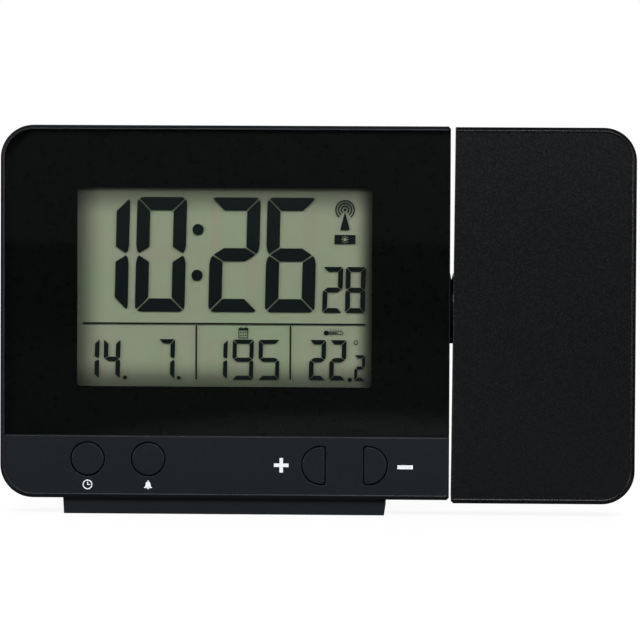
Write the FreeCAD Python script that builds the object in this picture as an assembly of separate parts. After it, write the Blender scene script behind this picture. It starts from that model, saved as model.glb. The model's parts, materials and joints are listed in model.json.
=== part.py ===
import FreeCAD, Part
import math
import os

from FreeCAD import Vector

# Projection alarm clock: a display casing on a foot and, beside it across a narrow slit, a projector
# arm that swings about a level axle. Millimetres, +Z up, the display faces -Y, +X to the viewer's right.
# The origin is in the middle of the footprint, on the surface that the clock stands on.

# Casing
body_width = 115.35
body_height = 95.7
slab_depth = 22.0
total_depth = 38.0
wall = 2.0
corner_radius = 8.5
slit_corner_bevel = 0.6
rim_width = 1.1
rim_step = 0.35
rim_bevel = 0.8
lip_height = 1.2
lip_thickness = 0.9
lip_clearance = 0.1

# Foot and battery block
foot_drop = 4.2
foot_left_inset = 16.05
foot_right_inset = 16.4
foot_setback = 2.5
foot_draft = 0.25
block_height = 36.0
block_edge_bevel = 1.2

# Display panel and window
strip_height = 15.85
groove_width = 0.35
lens_thickness = 1.6
lens_clearance = 0.1
lens_slit_inset = 0.25
lens_bevel = 0.2
mask_thickness = 0.2
ledge_thickness = 1.15
window_left_inset = 19.65
window_right_inset = 20.0
window_top_inset = 16.0
window_bottom_inset = 28.7
window_corner = 1.0
panel_border = 3.0
panel_thickness = 2.2
contact_ledge = 3.0
guide_thickness = 3.0
pad_thickness = 0.9
frame_wall = 1.5
frame_clearance = 0.15
contact_strip_width = 2.0

# Main board
board_thickness = 1.6
board_margin = 2.7
board_top_gap = 6.7
board_bottom_gap = 4.0
standoff_side = 4.0
standoff_height = 18.9
chip_side = 9.0
chip_rise = 1.4
chip_inset = 30.0
chip_lift = 26.0
crystal_length = 6.0
crystal_width = 2.0
crystal_gap = 8.5
capacitor_length = 7.0
capacitor_width = 4.0
capacitor_height = 3.0
capacitor_gap = 11.5
link_length = 12.0
link_width = 2.5
link_inset = 18.0
link_margin = 1.0
resistor_length = 2.0
resistor_width = 1.2
resistor_height = 0.6
resistor_pitch = 4.0
resistor_inset = 64.0
resistor_count = 3

# Screw recesses in the back and the posts under them
recess_radius = 2.8
recess_depth = 4.0
post_side = 7.4
screw_inset = 6.8

# Push switches
switch_side = 6.0
switch_height = 3.5
plunger_side = 3.0
plunger_reach = 0.8
plunger_length = 2.0
plunger_clearance = 0.08
switch_bore_depth = 1.8
press_travel = 0.3

# Front buttons
button_gap = 0.32
button_flange_lap = 0.9
button_flange_thickness = 1.0
button_edge_bevel = 0.2
round_hole_radius = 4.5
round_button_rise = 10.05
time_button_inset = 22.55
alarm_button_inset = 38.15
d_hole_radius = 5.13
d_flat_offset = 1.31
d_button_rise = 8.7
d_corner_radius = 0.7
plus_button_right_inset = 32.86
minus_button_right_inset = 20.74

# Snooze bar
snooze_length = 60.0
snooze_depth = 11.0
snooze_gap = 0.3
snooze_flange_lap = 1.2
snooze_flange_thickness = 1.0
snooze_sink = 0.1
snooze_edge_bevel = 0.4
snooze_rib_length = 8.0
snooze_rib_depth = 2.6
snooze_switch_offset = 21.5

# Antenna, buzzer and temperature sensor
rod_height = 8.0
rod_thickness = 4.0
rod_length = 50.0
coil_length = 14.0
coil_build = 0.9
rod_drop = 6.0
rod_clearance = 0.3
saddle_width = 2.0
saddle_lap = 1.6
buzzer_radius = 10.0
buzzer_thickness = 0.5
buzzer_frame_wall = 1.3
buzzer_frame_height = 2.5
buzzer_seat_height = 1.3
buzzer_seat_lap = 1.0
buzzer_clearance = 0.05
buzzer_lift = 14.0
buzzer_right_inset = 24.0
sound_slot_count = 5
sound_slot_width = 1.2
sound_slot_pitch = 2.6
bead_side = 2.4
bead_lead_side = 0.5
bead_lead_length = 5.0
bead_lead_spread = 0.7
bead_inset = 4.0

# Rear board and its controls
rear_board_width = 58.0
rear_board_height = 22.0
rear_board_drop = 20.0
rear_board_left_inset = 19.0
rear_button_radius = 2.5
rear_button_gap = 0.3
rear_button_flange_lap = 0.9
rear_button_flange_thickness = 0.8
rear_button_rise = 0.6
rear_button_stem = 0.2
flip_button_place = 41.0
wave_button_place = 51.0
slide_switch_place = 26.0
slide_switch_width = 9.0
slide_switch_height = 4.4
slide_switch_rise = 4.3
slide_slot_depth = 1.2
slide_travel = 3.0
knob_width = 3.4
knob_height = 3.0
knob_rise = 0.9
knob_gap = 0.3
knob_plate_lap = 2.4
knob_plate_thickness = 0.55
knob_plate_gap = 0.15
knob_tongue_width = 2.0
knob_tongue_height = 1.4
knob_tongue_reach = 0.8
jack_place = 9.0
jack_side = 8.0
jack_nose_radius = 3.6
jack_nose_gap = 0.1
jack_bore_radius = 1.8
jack_bore_depth = 6.5

# Battery compartment
cell_radius = 7.25
cell_length = 49.5
cell_tip_radius = 2.75
cell_tip_length = 1.0
cell_gap = 0.3
cell_spacing = 0.5
tray_wall = 1.5
contact_plate_thickness = 0.4
contact_plate_margin = 1.2
contact_dimple_height = 0.6
contact_dimple_side = 4.0
contact_spring_length = 5.6
leaf_width = 7.0
leaf_foot_inset = 0.8
door_thickness = 1.9
door_side_lap = 1.0
door_tongue_width = 1.2
door_tongue_thickness = 0.8
door_tongue_inset = 0.5
door_clearance = 0.15
door_grip_count = 5
door_grip_width = 0.8
door_grip_pitch = 1.8
door_grip_length = 16.0
door_grip_depth = 0.4
door_grip_drop = 4.0

# Hinge
arm_gap = 0.5
hinge_offset = 1.05
collar_radius = 9.0
collar_height = 0.34
collar_mark_depth = 3.8
journal_radius = 6.0
journal_clearance = 0.05
hub_bore_width = 5.2
hub_bore_height = 2.2
hub_flange_radius = 7.3
hub_flange_thickness = 1.2
hub_flat_offset = 6.4
hub_rib_width = 2.0
washer_thickness = 0.6

# Projector arm
arm_width = 47.0
arm_extra_height = 0.64
arm_set_down = 0.8
slit_draft = 0.75

# Projector
projector_drop = 26.95
lamp_house_side = 24.0
lamp_house_wall = 2.0
projector_board_front = 3.0
projector_board_margin = 2.0
projector_board_tail = 7.0
led_base_side = 5.0
led_base_height = 1.0
led_window_side = 3.4
condenser_side = 18.0
condenser_edge = 1.0
condenser_bulge = 1.8
condenser_seat_depth = 5.4
condenser_clearance = 0.1
aperture_side = 13.0
aperture_length = 1.0
slide_side = 16.0
slide_thickness = 1.2
slide_clearance = 0.1
projector_flange_side = 32.0
projector_flange_thickness = 1.6
projector_post_height = 3.0
tube_radius = 10.0
tube_bore_radius = 8.5
tube_reach = 12.0
tube_hole_gap = 0.3
barrel_clearance = 0.05
barrel_length = 14.0
barrel_start = 20.0
focus_travel = 3.0
focus_turn = 180.0
focus_pin_radius = 0.95
focus_pin_place = 5.5
focus_slot_clearance = 0.05
focus_groove_clearance = 0.1
focus_groove_depth = 1.25
focus_pin_tip_gap = 0.2
focus_groove_margin_turn = 8.0
ring_radius = 13.5
ring_length = 9.4
ring_gap = 0.3
ring_clearance = 0.05
ring_grip_count = 20
ring_grip_width = 1.6
ring_grip_depth = 0.8
collar_ring_rise = 1.2
lens_glass_radius = 7.0
lens_glass_edge = 1.2
lens_glass_bulge = 1.0
lens_glass_crown = 4.0
lens_seat_gap = 0.05
lens_lip_radius = 6.4
lens_lip_thickness = 0.8

# Flat cable through the hinge
ribbon_width = 3.6
ribbon_thickness = 1.0
plug_length = 4.0
plug_width = 5.0
plug_height = 4.8
arm_plug_length = 7.0
loom_gap = 0.3

# Places along X
total_width = body_width + arm_gap + arm_width
body_left = -total_width / 2
body_right = body_left + body_width
arm_left = body_right + arm_gap
arm_right = arm_left + arm_width
arm_middle = (arm_left + arm_right) / 2
body_middle = (body_left + body_right) / 2
foot_left = body_left + foot_left_inset
foot_right = body_right - foot_right_inset
window_left = body_left + window_left_inset
window_right = body_right - window_right_inset
panel_left = window_left - panel_border
panel_right = window_right + panel_border
frame_left = panel_left - frame_clearance - frame_wall
frame_right = panel_right + frame_clearance + frame_wall
time_button_x = body_left + time_button_inset
alarm_button_x = body_left + alarm_button_inset
plus_button_x = body_right - plus_button_right_inset
minus_button_x = body_right - minus_button_right_inset
board_left = min(frame_left - standoff_side, time_button_x - switch_side)
board_right = max(frame_right, minus_button_x + switch_side / 2) + board_margin

# Places along Y, from the front to the back
front = -total_depth / 2
seam = front + slab_depth / 2
slab_back = front + slab_depth
back = front + total_depth
slab_inner_back = slab_back - wall
lens_face = front + rim_step
lens_back = lens_face + lens_thickness
mask_back = lens_back + mask_thickness
face_back = mask_back + ledge_thickness
panel_back = face_back + panel_thickness
guide_back = panel_back + guide_thickness
board_front = guide_back + pad_thickness
board_back = board_front + board_thickness
rear_board_back = slab_inner_back - rear_button_flange_thickness - rear_button_stem - plunger_reach - switch_height
rear_board_front = rear_board_back - board_thickness

# Places along Z, from the bottom to the top
casing_bottom = foot_drop
casing_top = casing_bottom + body_height
hinge_z = (casing_bottom + casing_top) / 2 + hinge_offset
arm_bottom = casing_bottom - arm_set_down
arm_top = arm_bottom + body_height + arm_extra_height
strip_top = casing_bottom + strip_height
window_top = casing_top - window_top_inset
window_bottom = casing_bottom + window_bottom_inset
panel_top = window_top + panel_border
panel_bottom = window_bottom - panel_border - contact_ledge
frame_top = panel_top + frame_clearance + frame_wall
frame_bottom = panel_bottom - frame_clearance - frame_wall
round_button_z = casing_bottom + round_button_rise
d_button_z = casing_bottom + d_button_rise
board_top = casing_top - board_top_gap
board_bottom = casing_bottom + board_bottom_gap

nodes = {}


def box(x0, x1, y0, y1, z0, z1):
    return Part.makeBox(x1 - x0, y1 - y0, z1 - z0, Vector(x0, y0, z0))


def rod_x(y, z, radius, x0, x1):
    return Part.makeCylinder(radius, x1 - x0, Vector(x0, y, z), Vector(1, 0, 0))


def rod_y(x, z, radius, y0, y1):
    return Part.makeCylinder(radius, y1 - y0, Vector(x, y0, z), Vector(0, 1, 0))


def post_y(x, z, side, y0, y1):
    """A square post along Y, centred on x and z."""
    return box(x - side / 2, x + side / 2, y0, y1, z - side / 2, z + side / 2)


def rod_z(x, y, radius, z0, z1):
    return Part.makeCylinder(radius, z1 - z0, Vector(x, y, z0), Vector(0, 0, 1))


def ring_y(x, z, outer, inner, y0, y1):
    return rod_y(x, z, outer, y0, y1).cut(rod_y(x, z, inner, y0, y1))


def ring_x(y, z, outer, inner, x0, x1):
    return rod_x(y, z, outer, x0, x1).cut(rod_x(y, z, inner, x0, x1))


def plate(x0, x1, z0, z1, corners, y0, y1):
    """A flat plate with its own radius at the lower left, lower right, upper right and upper left."""
    points = [Vector(x0, y0, z0), Vector(x1, y0, z0), Vector(x1, y0, z1), Vector(x0, y0, z1)]
    starts = []
    ends = []
    arcs = []
    for index, radius in enumerate(corners):
        point = points[index]
        arriving = (point - points[index - 1]).normalize()
        leaving = (points[(index + 1) % 4] - point).normalize()
        starts.append(point - arriving * radius)
        ends.append(point + leaving * radius)
        if radius > 0:
            middle = starts[-1] + leaving * radius + (arriving - leaving) * (radius / math.sqrt(2))
            arcs.append(Part.Arc(starts[-1], middle, ends[-1]).toShape())
    lines = [Part.makeLine(ends[index - 1], starts[index]) for index in range(4)]
    wire = Part.Wire(Part.__sortEdges__(arcs + lines))
    return Part.Face(wire).extrude(Vector(0, y1 - y0, 0))


def polygon_along_y(points, y0, y1):
    corners = [Vector(x, y0, z) for x, z in points]
    wire = Part.makePolygon(corners + corners[:1])
    return Part.Face(wire).extrude(Vector(0, y1 - y0, 0))


def edges_at_y(shape, y):
    tolerance = 1e-4
    return [edge for edge in shape.Edges
            if abs(edge.BoundBox.YMin - y) < tolerance and abs(edge.BoundBox.YMax - y) < tolerance]


def edges_at_z(shape, z):
    tolerance = 1e-4
    return [edge for edge in shape.Edges
            if abs(edge.BoundBox.ZMin - z) < tolerance and abs(edge.BoundBox.ZMax - z) < tolerance]


def edges_along_y(shape):
    tolerance = 1e-4
    return [edge for edge in shape.Edges
            if edge.BoundBox.XLength < tolerance and edge.BoundBox.ZLength < tolerance]


def outer_slab(x0, x1, z0, z1, corners, slit_x, y0, y1, face_y):
    """A housing half: a slab with its face edge bevelled all round and its corners at the slit broken."""
    slab = plate(x0, x1, z0, z1, corners, y0, y1)
    square = [edge for edge in edges_along_y(slab) if abs(edge.BoundBox.XMin - slit_x) < 1e-4]
    slab = slab.makeChamfer(slit_corner_bevel, square)
    return slab.makeChamfer(rim_bevel, edges_at_y(slab, face_y))


def fuse_all(first, others):
    return first.multiFuse(others).removeSplitter()


def placed(shape, point, direction):
    """A shape built up along +Z from the origin, turned to point along direction from point."""
    turned = shape.copy()
    turned.Placement = FreeCAD.Placement(point, FreeCAD.Rotation(Vector(0, 0, 1), direction))
    return turned


def turned_y(x, z, y, points):
    """Turn a closed outline of (radius, offset along Y) points about the line through x and z."""
    corners = [Vector(radius, offset, 0) for radius, offset in points]
    wire = Part.makePolygon(corners + corners[:1])
    shape = Part.Face(wire).revolve(Vector(0, 0, 0), Vector(0, 1, 0), 360)
    shape.translate(Vector(x, y, z))
    return shape


def add(name, *solids):
    """Keep the solids of one sub-part under its node's name."""
    pieces = []
    for solid in solids:
        pieces.extend(solid.Solids)
    nodes[name] = pieces[0] if len(pieces) == 1 else Part.makeCompound(pieces)


# Push switches, used in several places


def switch_body():
    block = Part.makeBox(switch_side, switch_side, switch_height, Vector(-switch_side / 2, -switch_side / 2, 0))
    bore_side = plunger_side + 2 * plunger_clearance
    bore = Part.makeBox(bore_side, bore_side, switch_bore_depth,
                        Vector(-bore_side / 2, -bore_side / 2, switch_height - switch_bore_depth))
    return block.cut(bore)


def switch_plunger():
    start = switch_height + plunger_reach - plunger_length
    return Part.makeBox(plunger_side, plunger_side, plunger_length,
                        Vector(-plunger_side / 2, -plunger_side / 2, start))


# Shapes shared by the two halves of the casing

body_corners = (corner_radius, 0, 0, corner_radius)
inner_corners = tuple(max(radius - wall, 0) for radius in body_corners)
screw_places = [(x, z)
                for x in (body_left + screw_inset, body_right - screw_inset)
                for z in (casing_bottom + screw_inset, casing_top - screw_inset)]
standoff_places = [(x, z)
                   for x in (board_left + standoff_side / 2, board_right - standoff_side / 2)
                   for z in (casing_bottom + standoff_height, board_top - standoff_side / 2)]


def inner_plate(inset, y0, y1):
    """The space inside the casing's walls, drawn in by a further inset."""
    corners = tuple(max(radius - inset, 0) for radius in inner_corners)
    reach = wall + inset
    return plate(body_left + reach, body_right - reach, casing_bottom + reach, casing_top - reach, corners, y0, y1)


def foot_block(y0, y1, top, inset):
    """The foot's outline drawn along Y: its sides lean in a little towards the ground."""
    left = foot_left + inset
    right = foot_right - inset
    bottom = inset
    return polygon_along_y([(left, top), (left, casing_bottom), (left + foot_draft, bottom),
                            (right - foot_draft, bottom), (right, casing_bottom), (right, top)], y0, y1)


def hinge_journal_hole(x0, x1):
    return rod_x(seam, hinge_z, journal_radius + journal_clearance, x0, x1)


def body_collar():
    """The raised ring round the journal on the casing's side, with its top bevelled as a home mark."""
    reach = body_right + collar_height
    collar = rod_x(seam, hinge_z, collar_radius, body_right - wall / 2, reach)
    mark_low = hinge_z + collar_radius - collar_mark_depth
    mark_high = hinge_z + collar_radius
    mark = polygon_along_y([(reach, mark_low), (body_right, mark_high), (reach, mark_high)],
                           seam - collar_radius, seam + collar_radius)
    return collar.cut(mark)


def snooze_opening():
    half_length = snooze_length / 2
    half_depth = snooze_depth / 2
    return box(body_middle - half_length, body_middle + half_length, seam - half_depth, seam + half_depth,
               casing_top - 2 * wall, casing_top + wall)


def d_button(x, z, side, radius, grow, y0, y1):
    """A D-shaped prism: a disc cut off by a flat on one side, with its two corners rounded."""
    disc = rod_y(x, z, radius + grow, y0, y1)
    flat = x + side * (d_flat_offset + grow)
    far = x - side * 2 * radius
    prism = disc.common(box(min(flat, far), max(flat, far), y0, y1, z - 2 * radius, z + 2 * radius))
    corners = [edge for edge in edges_along_y(prism) if abs(edge.BoundBox.XMin - flat) < 1e-4]
    return prism.makeFillet(d_corner_radius, corners)


# Front housing: rim, lens seat, button strip, foot front, screw bosses and board standoffs


def make_front_housing():
    shell = outer_slab(body_left, body_right, casing_bottom, casing_top, body_corners, body_right,
                       front, seam, front)
    foot = foot_block(front + foot_setback, seam, casing_bottom + wall, 0)
    shell = shell.fuse(foot)
    inner_radius = corner_radius - rim_width
    past_slit = body_right + 1
    lens_seat = plate(body_left + rim_width, past_slit, strip_top, casing_top - rim_width,
                      (0, 0, 0, inner_radius), front - 1, mask_back)
    strip_face = plate(body_left + rim_width, past_slit, casing_bottom + rim_width, strip_top + 1,
                       (inner_radius, 0, 0, 0), front - 1, lens_face)
    cavity = inner_plate(0, face_back, seam)
    foot_cavity = foot_block(front + foot_setback + wall, seam, casing_bottom + wall + 1, wall)
    window = box(window_left - 1, window_right + 1, front, seam, window_bottom - 1, window_top + 1)
    shell = shell.cut(lens_seat).cut(strip_face).cut(cavity).cut(foot_cavity).cut(window)
    posts = [post_y(x, z, post_side, face_back - 0.5, seam) for x, z in screw_places]
    standoffs = [post_y(x, z, standoff_side, face_back - 0.5, board_front) for x, z in standoff_places]
    collar = body_collar().common(box(body_left, arm_left, mask_back, seam, casing_bottom, casing_top))
    shell = fuse_all(shell, posts + standoffs + [collar])
    holes = [rod_y(x, round_button_z, round_hole_radius, front, seam) for x in (time_button_x, alarm_button_x)]
    holes.append(d_button(plus_button_x, d_button_z, 1, d_hole_radius, 0, front, seam))
    holes.append(d_button(minus_button_x, d_button_z, -1, d_hole_radius, 0, front, seam))
    holes.append(hinge_journal_hole(body_right - 2 * wall, arm_left))
    holes.append(snooze_opening())
    add("front_housing", shell.cut(holes))


# Display stack: lens, printed mask, liquid crystal panel, frame, light guide, pad and contact strip


def lens_outline(y0, y1):
    inner_radius = corner_radius - rim_width - lens_clearance
    return plate(body_left + rim_width + lens_clearance, body_right - lens_slit_inset,
                 strip_top + groove_width, casing_top - rim_width - lens_clearance,
                 (0, 0, 0, inner_radius), y0, y1)


def make_display():
    lens = lens_outline(lens_face, lens_back)
    add("display_lens", lens.makeChamfer(lens_bevel, edges_at_y(lens, lens_face)))
    window = plate(window_left, window_right, window_bottom, window_top, (window_corner,) * 4, lens_back, mask_back)
    add("lens_mask", lens_outline(lens_back, mask_back).cut(window))
    front_glass = box(panel_left, panel_right, face_back, face_back + panel_thickness / 2,
                      panel_bottom + contact_ledge, panel_top)
    rear_glass = box(panel_left, panel_right, face_back + panel_thickness / 2, panel_back, panel_bottom, panel_top)
    add("lcd_panel", front_glass.fuse(rear_glass))
    outer = box(frame_left, frame_right, face_back, board_front, frame_bottom, frame_top)
    pocket = box(panel_left - frame_clearance, panel_right + frame_clearance, face_back, board_front,
                 panel_bottom - frame_clearance, panel_top + frame_clearance)
    add("lcd_frame", outer.cut(pocket))
    guide_bottom = panel_bottom + contact_ledge + frame_clearance
    add("light_guide", box(panel_left, panel_right, panel_back, guide_back, guide_bottom, panel_top))
    add("light_guide_pad", box(panel_left, panel_right, guide_back, board_front, guide_bottom, panel_top))
    strip_bottom = panel_bottom + (contact_ledge - contact_strip_width) / 2
    add("contact_strip", box(panel_left + 1, panel_right - 1, panel_back, board_front,
                             strip_bottom, strip_bottom + contact_strip_width))


# Front buttons, each with the plunger of the switch that it presses


def make_front_button(name, x, z, cap, flange):
    stem_end = board_front - switch_height - plunger_reach
    stem = post_y(x, z, plunger_side, face_back, stem_end)
    cap = cap.makeChamfer(button_edge_bevel, edges_at_y(cap, lens_face))
    add(name + "_button", fuse_all(cap, [flange, stem]))
    add(name + "_plunger", placed(switch_plunger(), Vector(x, board_front, z), Vector(0, -1, 0)))


def make_front_buttons():
    flange_back = face_back + button_flange_thickness
    for name, x in (("time", time_button_x), ("alarm", alarm_button_x)):
        cap = rod_y(x, round_button_z, round_hole_radius - button_gap, lens_face, face_back)
        flange = post_y(x, round_button_z, 2 * (round_hole_radius + button_flange_lap), face_back, flange_back)
        make_front_button(name, x, round_button_z, cap, flange)
    for name, x, side in (("plus", plus_button_x, 1), ("minus", minus_button_x, -1)):
        cap = d_button(x, d_button_z, side, d_hole_radius, -button_gap, lens_face, face_back)
        flat = x + side * (d_flat_offset + button_flange_lap)
        far = x - side * (d_hole_radius + button_flange_lap)
        reach = d_hole_radius + button_flange_lap
        flange = box(min(flat, far), max(flat, far), face_back, flange_back, d_button_z - reach, d_button_z + reach)
        make_front_button(name, x, d_button_z, cap, flange)


# Snooze bar, flush with the casing's top

snooze_switch_x = body_middle + snooze_switch_offset
snooze_switch_y = board_back + switch_side / 2
snooze_switch_base = board_top - switch_height


def make_snooze_bar():
    half_length = snooze_length / 2 - snooze_gap
    half_depth = snooze_depth / 2 - snooze_gap
    flange_top = casing_top - wall
    flange_bottom = flange_top - snooze_flange_thickness
    cap = box(body_middle - half_length, body_middle + half_length, seam - half_depth, seam + half_depth,
              flange_top, casing_top - snooze_sink)
    cap = cap.makeChamfer(snooze_edge_bevel, edges_at_z(cap, casing_top - snooze_sink))
    lap = snooze_gap + snooze_flange_lap
    flange = box(body_middle - half_length - lap, body_middle + half_length + lap,
                 seam - half_depth - lap, seam + half_depth + lap, flange_bottom, flange_top)
    rib = box(snooze_switch_x - snooze_rib_length / 2, snooze_switch_x + snooze_rib_length / 2,
              snooze_switch_y - snooze_rib_depth / 2, snooze_switch_y + snooze_rib_depth / 2,
              board_top + plunger_reach, flange_bottom)
    add("snooze_bar", fuse_all(cap, [flange, rib]))
    base = Vector(snooze_switch_x, snooze_switch_y, snooze_switch_base)
    add("snooze_plunger", placed(switch_plunger(), base, Vector(0, 0, 1)))


# Places on the rear board

rear_board_left = body_left + rear_board_left_inset
rear_board_right = rear_board_left + rear_board_width
rear_board_top = casing_top - rear_board_drop
rear_board_bottom = rear_board_top - rear_board_height
rear_row_z = (rear_board_top + rear_board_bottom) / 2
flip_button_x = rear_board_left + flip_button_place
wave_button_x = rear_board_left + wave_button_place
slide_switch_x = rear_board_left + slide_switch_place
jack_x = rear_board_left + jack_place
rear_standoff_places = [(rear_board_left + standoff_side / 2, rear_board_bottom + standoff_side / 2),
                        (rear_board_right - standoff_side / 2, rear_board_top - standoff_side / 2)]

# Places of the antenna and the buzzer

rod_left = board_left + 4
rod_back = slab_inner_back - rod_clearance - coil_build
rod_front = rod_back - rod_thickness
rod_z_place = board_top - rod_drop
buzzer_x = body_right - buzzer_right_inset
buzzer_z = block_height + buzzer_lift

# Places of the battery compartment

tray_length = (contact_plate_thickness * 2 + contact_dimple_height + cell_tip_length + cell_length
               + contact_spring_length)
tray_left = (foot_left + foot_right - tray_length) / 2
tray_right = tray_left + tray_length
tray_bottom = wall + 1.2
low_cell_z = tray_bottom + cell_gap + cell_radius
high_cell_z = low_cell_z + 2 * cell_radius + cell_spacing
tray_top = high_cell_z + cell_radius + cell_gap
door_inner = back - door_thickness
cell_y = door_inner - 2 * cell_gap - cell_radius
tray_front = cell_y - cell_radius - cell_gap
door_left = tray_left - door_side_lap
door_right = tray_right + door_side_lap
door_bottom = tray_bottom - 0.6


def door_plate(grow, y0, y1, top):
    return box(door_left - grow, door_right + grow, y0, y1, door_bottom - grow, top)


def door_tongues(grow, top):
    """The tongue along each side of the door, or with grow the groove that it runs in."""
    y0 = door_inner + door_tongue_inset - grow
    y1 = y0 + door_tongue_thickness + 2 * grow
    reach = door_tongue_width + grow
    bottom = door_bottom - grow
    return [box(door_left - reach, door_left, y0, y1, bottom, top),
            box(door_right, door_right + reach, y0, y1, bottom, top)]


# Rear housing: slab back, foot and battery block, tray, seam lip, bosses, saddles and sound slots


def battery_tray():
    """The walls round the cells, open to the back, with a rib that cradles both cells half way along."""
    outer = box(tray_left - tray_wall, tray_right + tray_wall, tray_front - tray_wall, back - 1,
                wall / 2, tray_top + tray_wall)
    pocket = box(tray_left, tray_right, tray_front, back, tray_bottom, tray_top)
    tray = outer.cut(pocket)
    rib_x = (tray_left + tray_right) / 2
    rib = box(rib_x - 1, rib_x + 1, tray_front, cell_y - 1, tray_bottom, tray_top)
    cells = [rod_x(cell_y, z, cell_radius + cell_gap, tray_left, tray_right) for z in (low_cell_z, high_cell_z)]
    return tray, [rib.cut(cells)]


def standing_lip(outline):
    """A lip that stands up from a rear half inside the front half's wall, rooted in its own wall."""
    inside = lip_clearance + lip_thickness
    root = outline(-lip_thickness, seam, seam + lip_height).cut(outline(inside, seam, seam + lip_height))
    lip = outline(lip_clearance, seam - lip_height, seam).cut(outline(inside, seam - lip_height, seam))
    return lip.fuse(root)


def seam_lip():
    room = 1.5
    hinge_room = box(body_right - 3 * wall, body_right, front, slab_back,
                     hinge_z - hub_flange_radius - room, hinge_z + hub_flange_radius + room)
    foot_room = box(foot_left, foot_right, front, slab_back, 0, casing_bottom + 2 * wall)
    half_length = snooze_length / 2 + snooze_flange_lap + room
    snooze_room = box(body_middle - half_length, body_middle + half_length, front, slab_back,
                      casing_top - 2 * wall, casing_top)
    post_rooms = [post_y(x, z, post_side + 2 * lip_clearance, front, seam) for x, z in screw_places]
    return standing_lip(inner_plate).cut([hinge_room, foot_room, snooze_room] + post_rooms)


def saddle(x):
    """A rib on the back wall with a notch that the antenna bar lies in."""
    half_width = saddle_width / 2
    half_height = rod_height / 2
    reach = half_height + saddle_lap
    rib = box(x - half_width, x + half_width, rod_front, slab_inner_back + 1, rod_z_place - reach, rod_z_place + reach)
    return rib.cut(box(x - half_width, x + half_width, rod_front, rod_back,
                       rod_z_place - half_height, rod_z_place + half_height))


def buzzer_seat():
    """A square frame on the back wall that the buzzer disc drops into, with a ledge under its edge."""
    seat = slab_inner_back - buzzer_seat_height
    pocket = 2 * (buzzer_radius + buzzer_clearance)
    outer = pocket + 2 * buzzer_frame_wall
    frame = post_y(buzzer_x, buzzer_z, outer, slab_inner_back - buzzer_frame_height, slab_inner_back + 1)
    frame = frame.cut(post_y(buzzer_x, buzzer_z, pocket, slab_inner_back - buzzer_frame_height, seat))
    opening = 2 * (buzzer_radius - buzzer_seat_lap)
    return frame.cut(post_y(buzzer_x, buzzer_z, opening, seat, slab_inner_back + 1))


def sound_slots():
    slots = []
    for index in range(sound_slot_count):
        z = buzzer_z + (index - (sound_slot_count - 1) / 2) * sound_slot_pitch
        half_length = math.sqrt((buzzer_radius - 2) ** 2 - (z - buzzer_z) ** 2)
        slots.append(box(buzzer_x - half_length, buzzer_x + half_length, slab_inner_back - 1, slab_back + 1,
                         z - sound_slot_width / 2, z + sound_slot_width / 2))
    return slots


def rear_posts():
    posts = [post_y(x, z, post_side, seam, slab_back - 1) for x, z in screw_places]
    posts += [post_y(x, z, standoff_side, rear_board_back, slab_inner_back + 1) for x, z in rear_standoff_places]
    return posts


def screw_recess(x, z):
    return rod_y(x, z, recess_radius, slab_back - recess_depth, slab_back + 1)


def rear_holes():
    """Screw recesses, button holes, the knob's slot and the supply jack's hole, all open to the back."""
    holes = [screw_recess(x, z) for x, z in screw_places]
    for x in (flip_button_x, wave_button_x):
        holes.append(rod_y(x, rear_row_z, rear_button_radius + rear_button_gap, slab_inner_back - 1, slab_back + 1))
    half_slot = (knob_width + slide_travel) / 2 + knob_gap
    half_height = knob_height / 2 + knob_gap
    holes.append(box(slide_switch_x - half_slot, slide_switch_x + half_slot, slab_inner_back - 1, slab_back + 1,
                     rear_row_z - half_height, rear_row_z + half_height))
    holes.append(rod_y(jack_x, rear_row_z, jack_nose_radius + jack_nose_gap, slab_inner_back - 1, slab_back + 1))
    return holes


def make_rear_housing():
    slab = outer_slab(body_left, body_right, casing_bottom, casing_top, body_corners, body_right,
                      seam, slab_back, slab_back)
    block = foot_block(seam, back, block_height, 0)
    block = block.makeChamfer(block_edge_bevel, edges_at_y(block, back))
    shell = slab.fuse(block)
    cavity = inner_plate(0, seam, slab_inner_back)
    block_cavity = foot_block(seam, back - wall, block_height - wall, wall)
    tray, ribs = battery_tray()
    collar = body_collar().common(box(body_left, arm_left, seam, slab_back, casing_bottom, casing_top))
    saddles = [saddle(rod_left + 4), saddle(rod_left + rod_length - 4)]
    added = [tray, seam_lip(), collar, buzzer_seat()] + ribs + saddles + rear_posts()
    shell = fuse_all(shell.cut(cavity).cut(block_cavity), added)
    door_opening = [door_plate(door_clearance, door_inner - 0.2, back + 1, block_height + 1)]
    door_opening.append(box(tray_left, tray_right, tray_front, back, tray_bottom, tray_top).cut(ribs))
    holes = rear_holes() + sound_slots() + door_opening + door_tongues(door_clearance, block_height + 1)
    holes.append(hinge_journal_hole(body_right - 2 * wall, arm_left))
    holes.append(snooze_opening())
    add("rear_housing", shell.cut(holes))


# Battery door, cells, contacts


def make_battery_door():
    door = fuse_all(door_plate(0, door_inner, back, block_height), door_tongues(0, block_height))
    half_length = door_grip_length / 2
    middle = (door_left + door_right) / 2
    grips = []
    for index in range(door_grip_count):
        z = block_height - door_grip_drop - index * door_grip_pitch
        grips.append(box(middle - half_length, middle + half_length, back - door_grip_depth, back + 1,
                         z - door_grip_width / 2, z + door_grip_width / 2))
    add("battery_door", door.cut(grips))


low_cell_right = tray_right - contact_plate_thickness - contact_dimple_height
high_cell_left = tray_left + contact_plate_thickness + contact_dimple_height


def cell(tip_x, z, side):
    """One cell with its raised tip at tip_x, lying away from it; side is +1 when the tip points to +X."""
    shoulder = tip_x - side * cell_tip_length
    end = shoulder - side * cell_length
    can = rod_x(cell_y, z, cell_radius, min(shoulder, end), max(shoulder, end))
    tip = rod_x(cell_y, z, cell_tip_radius, min(shoulder, tip_x), max(shoulder, tip_x))
    return can.fuse(tip)


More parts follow.
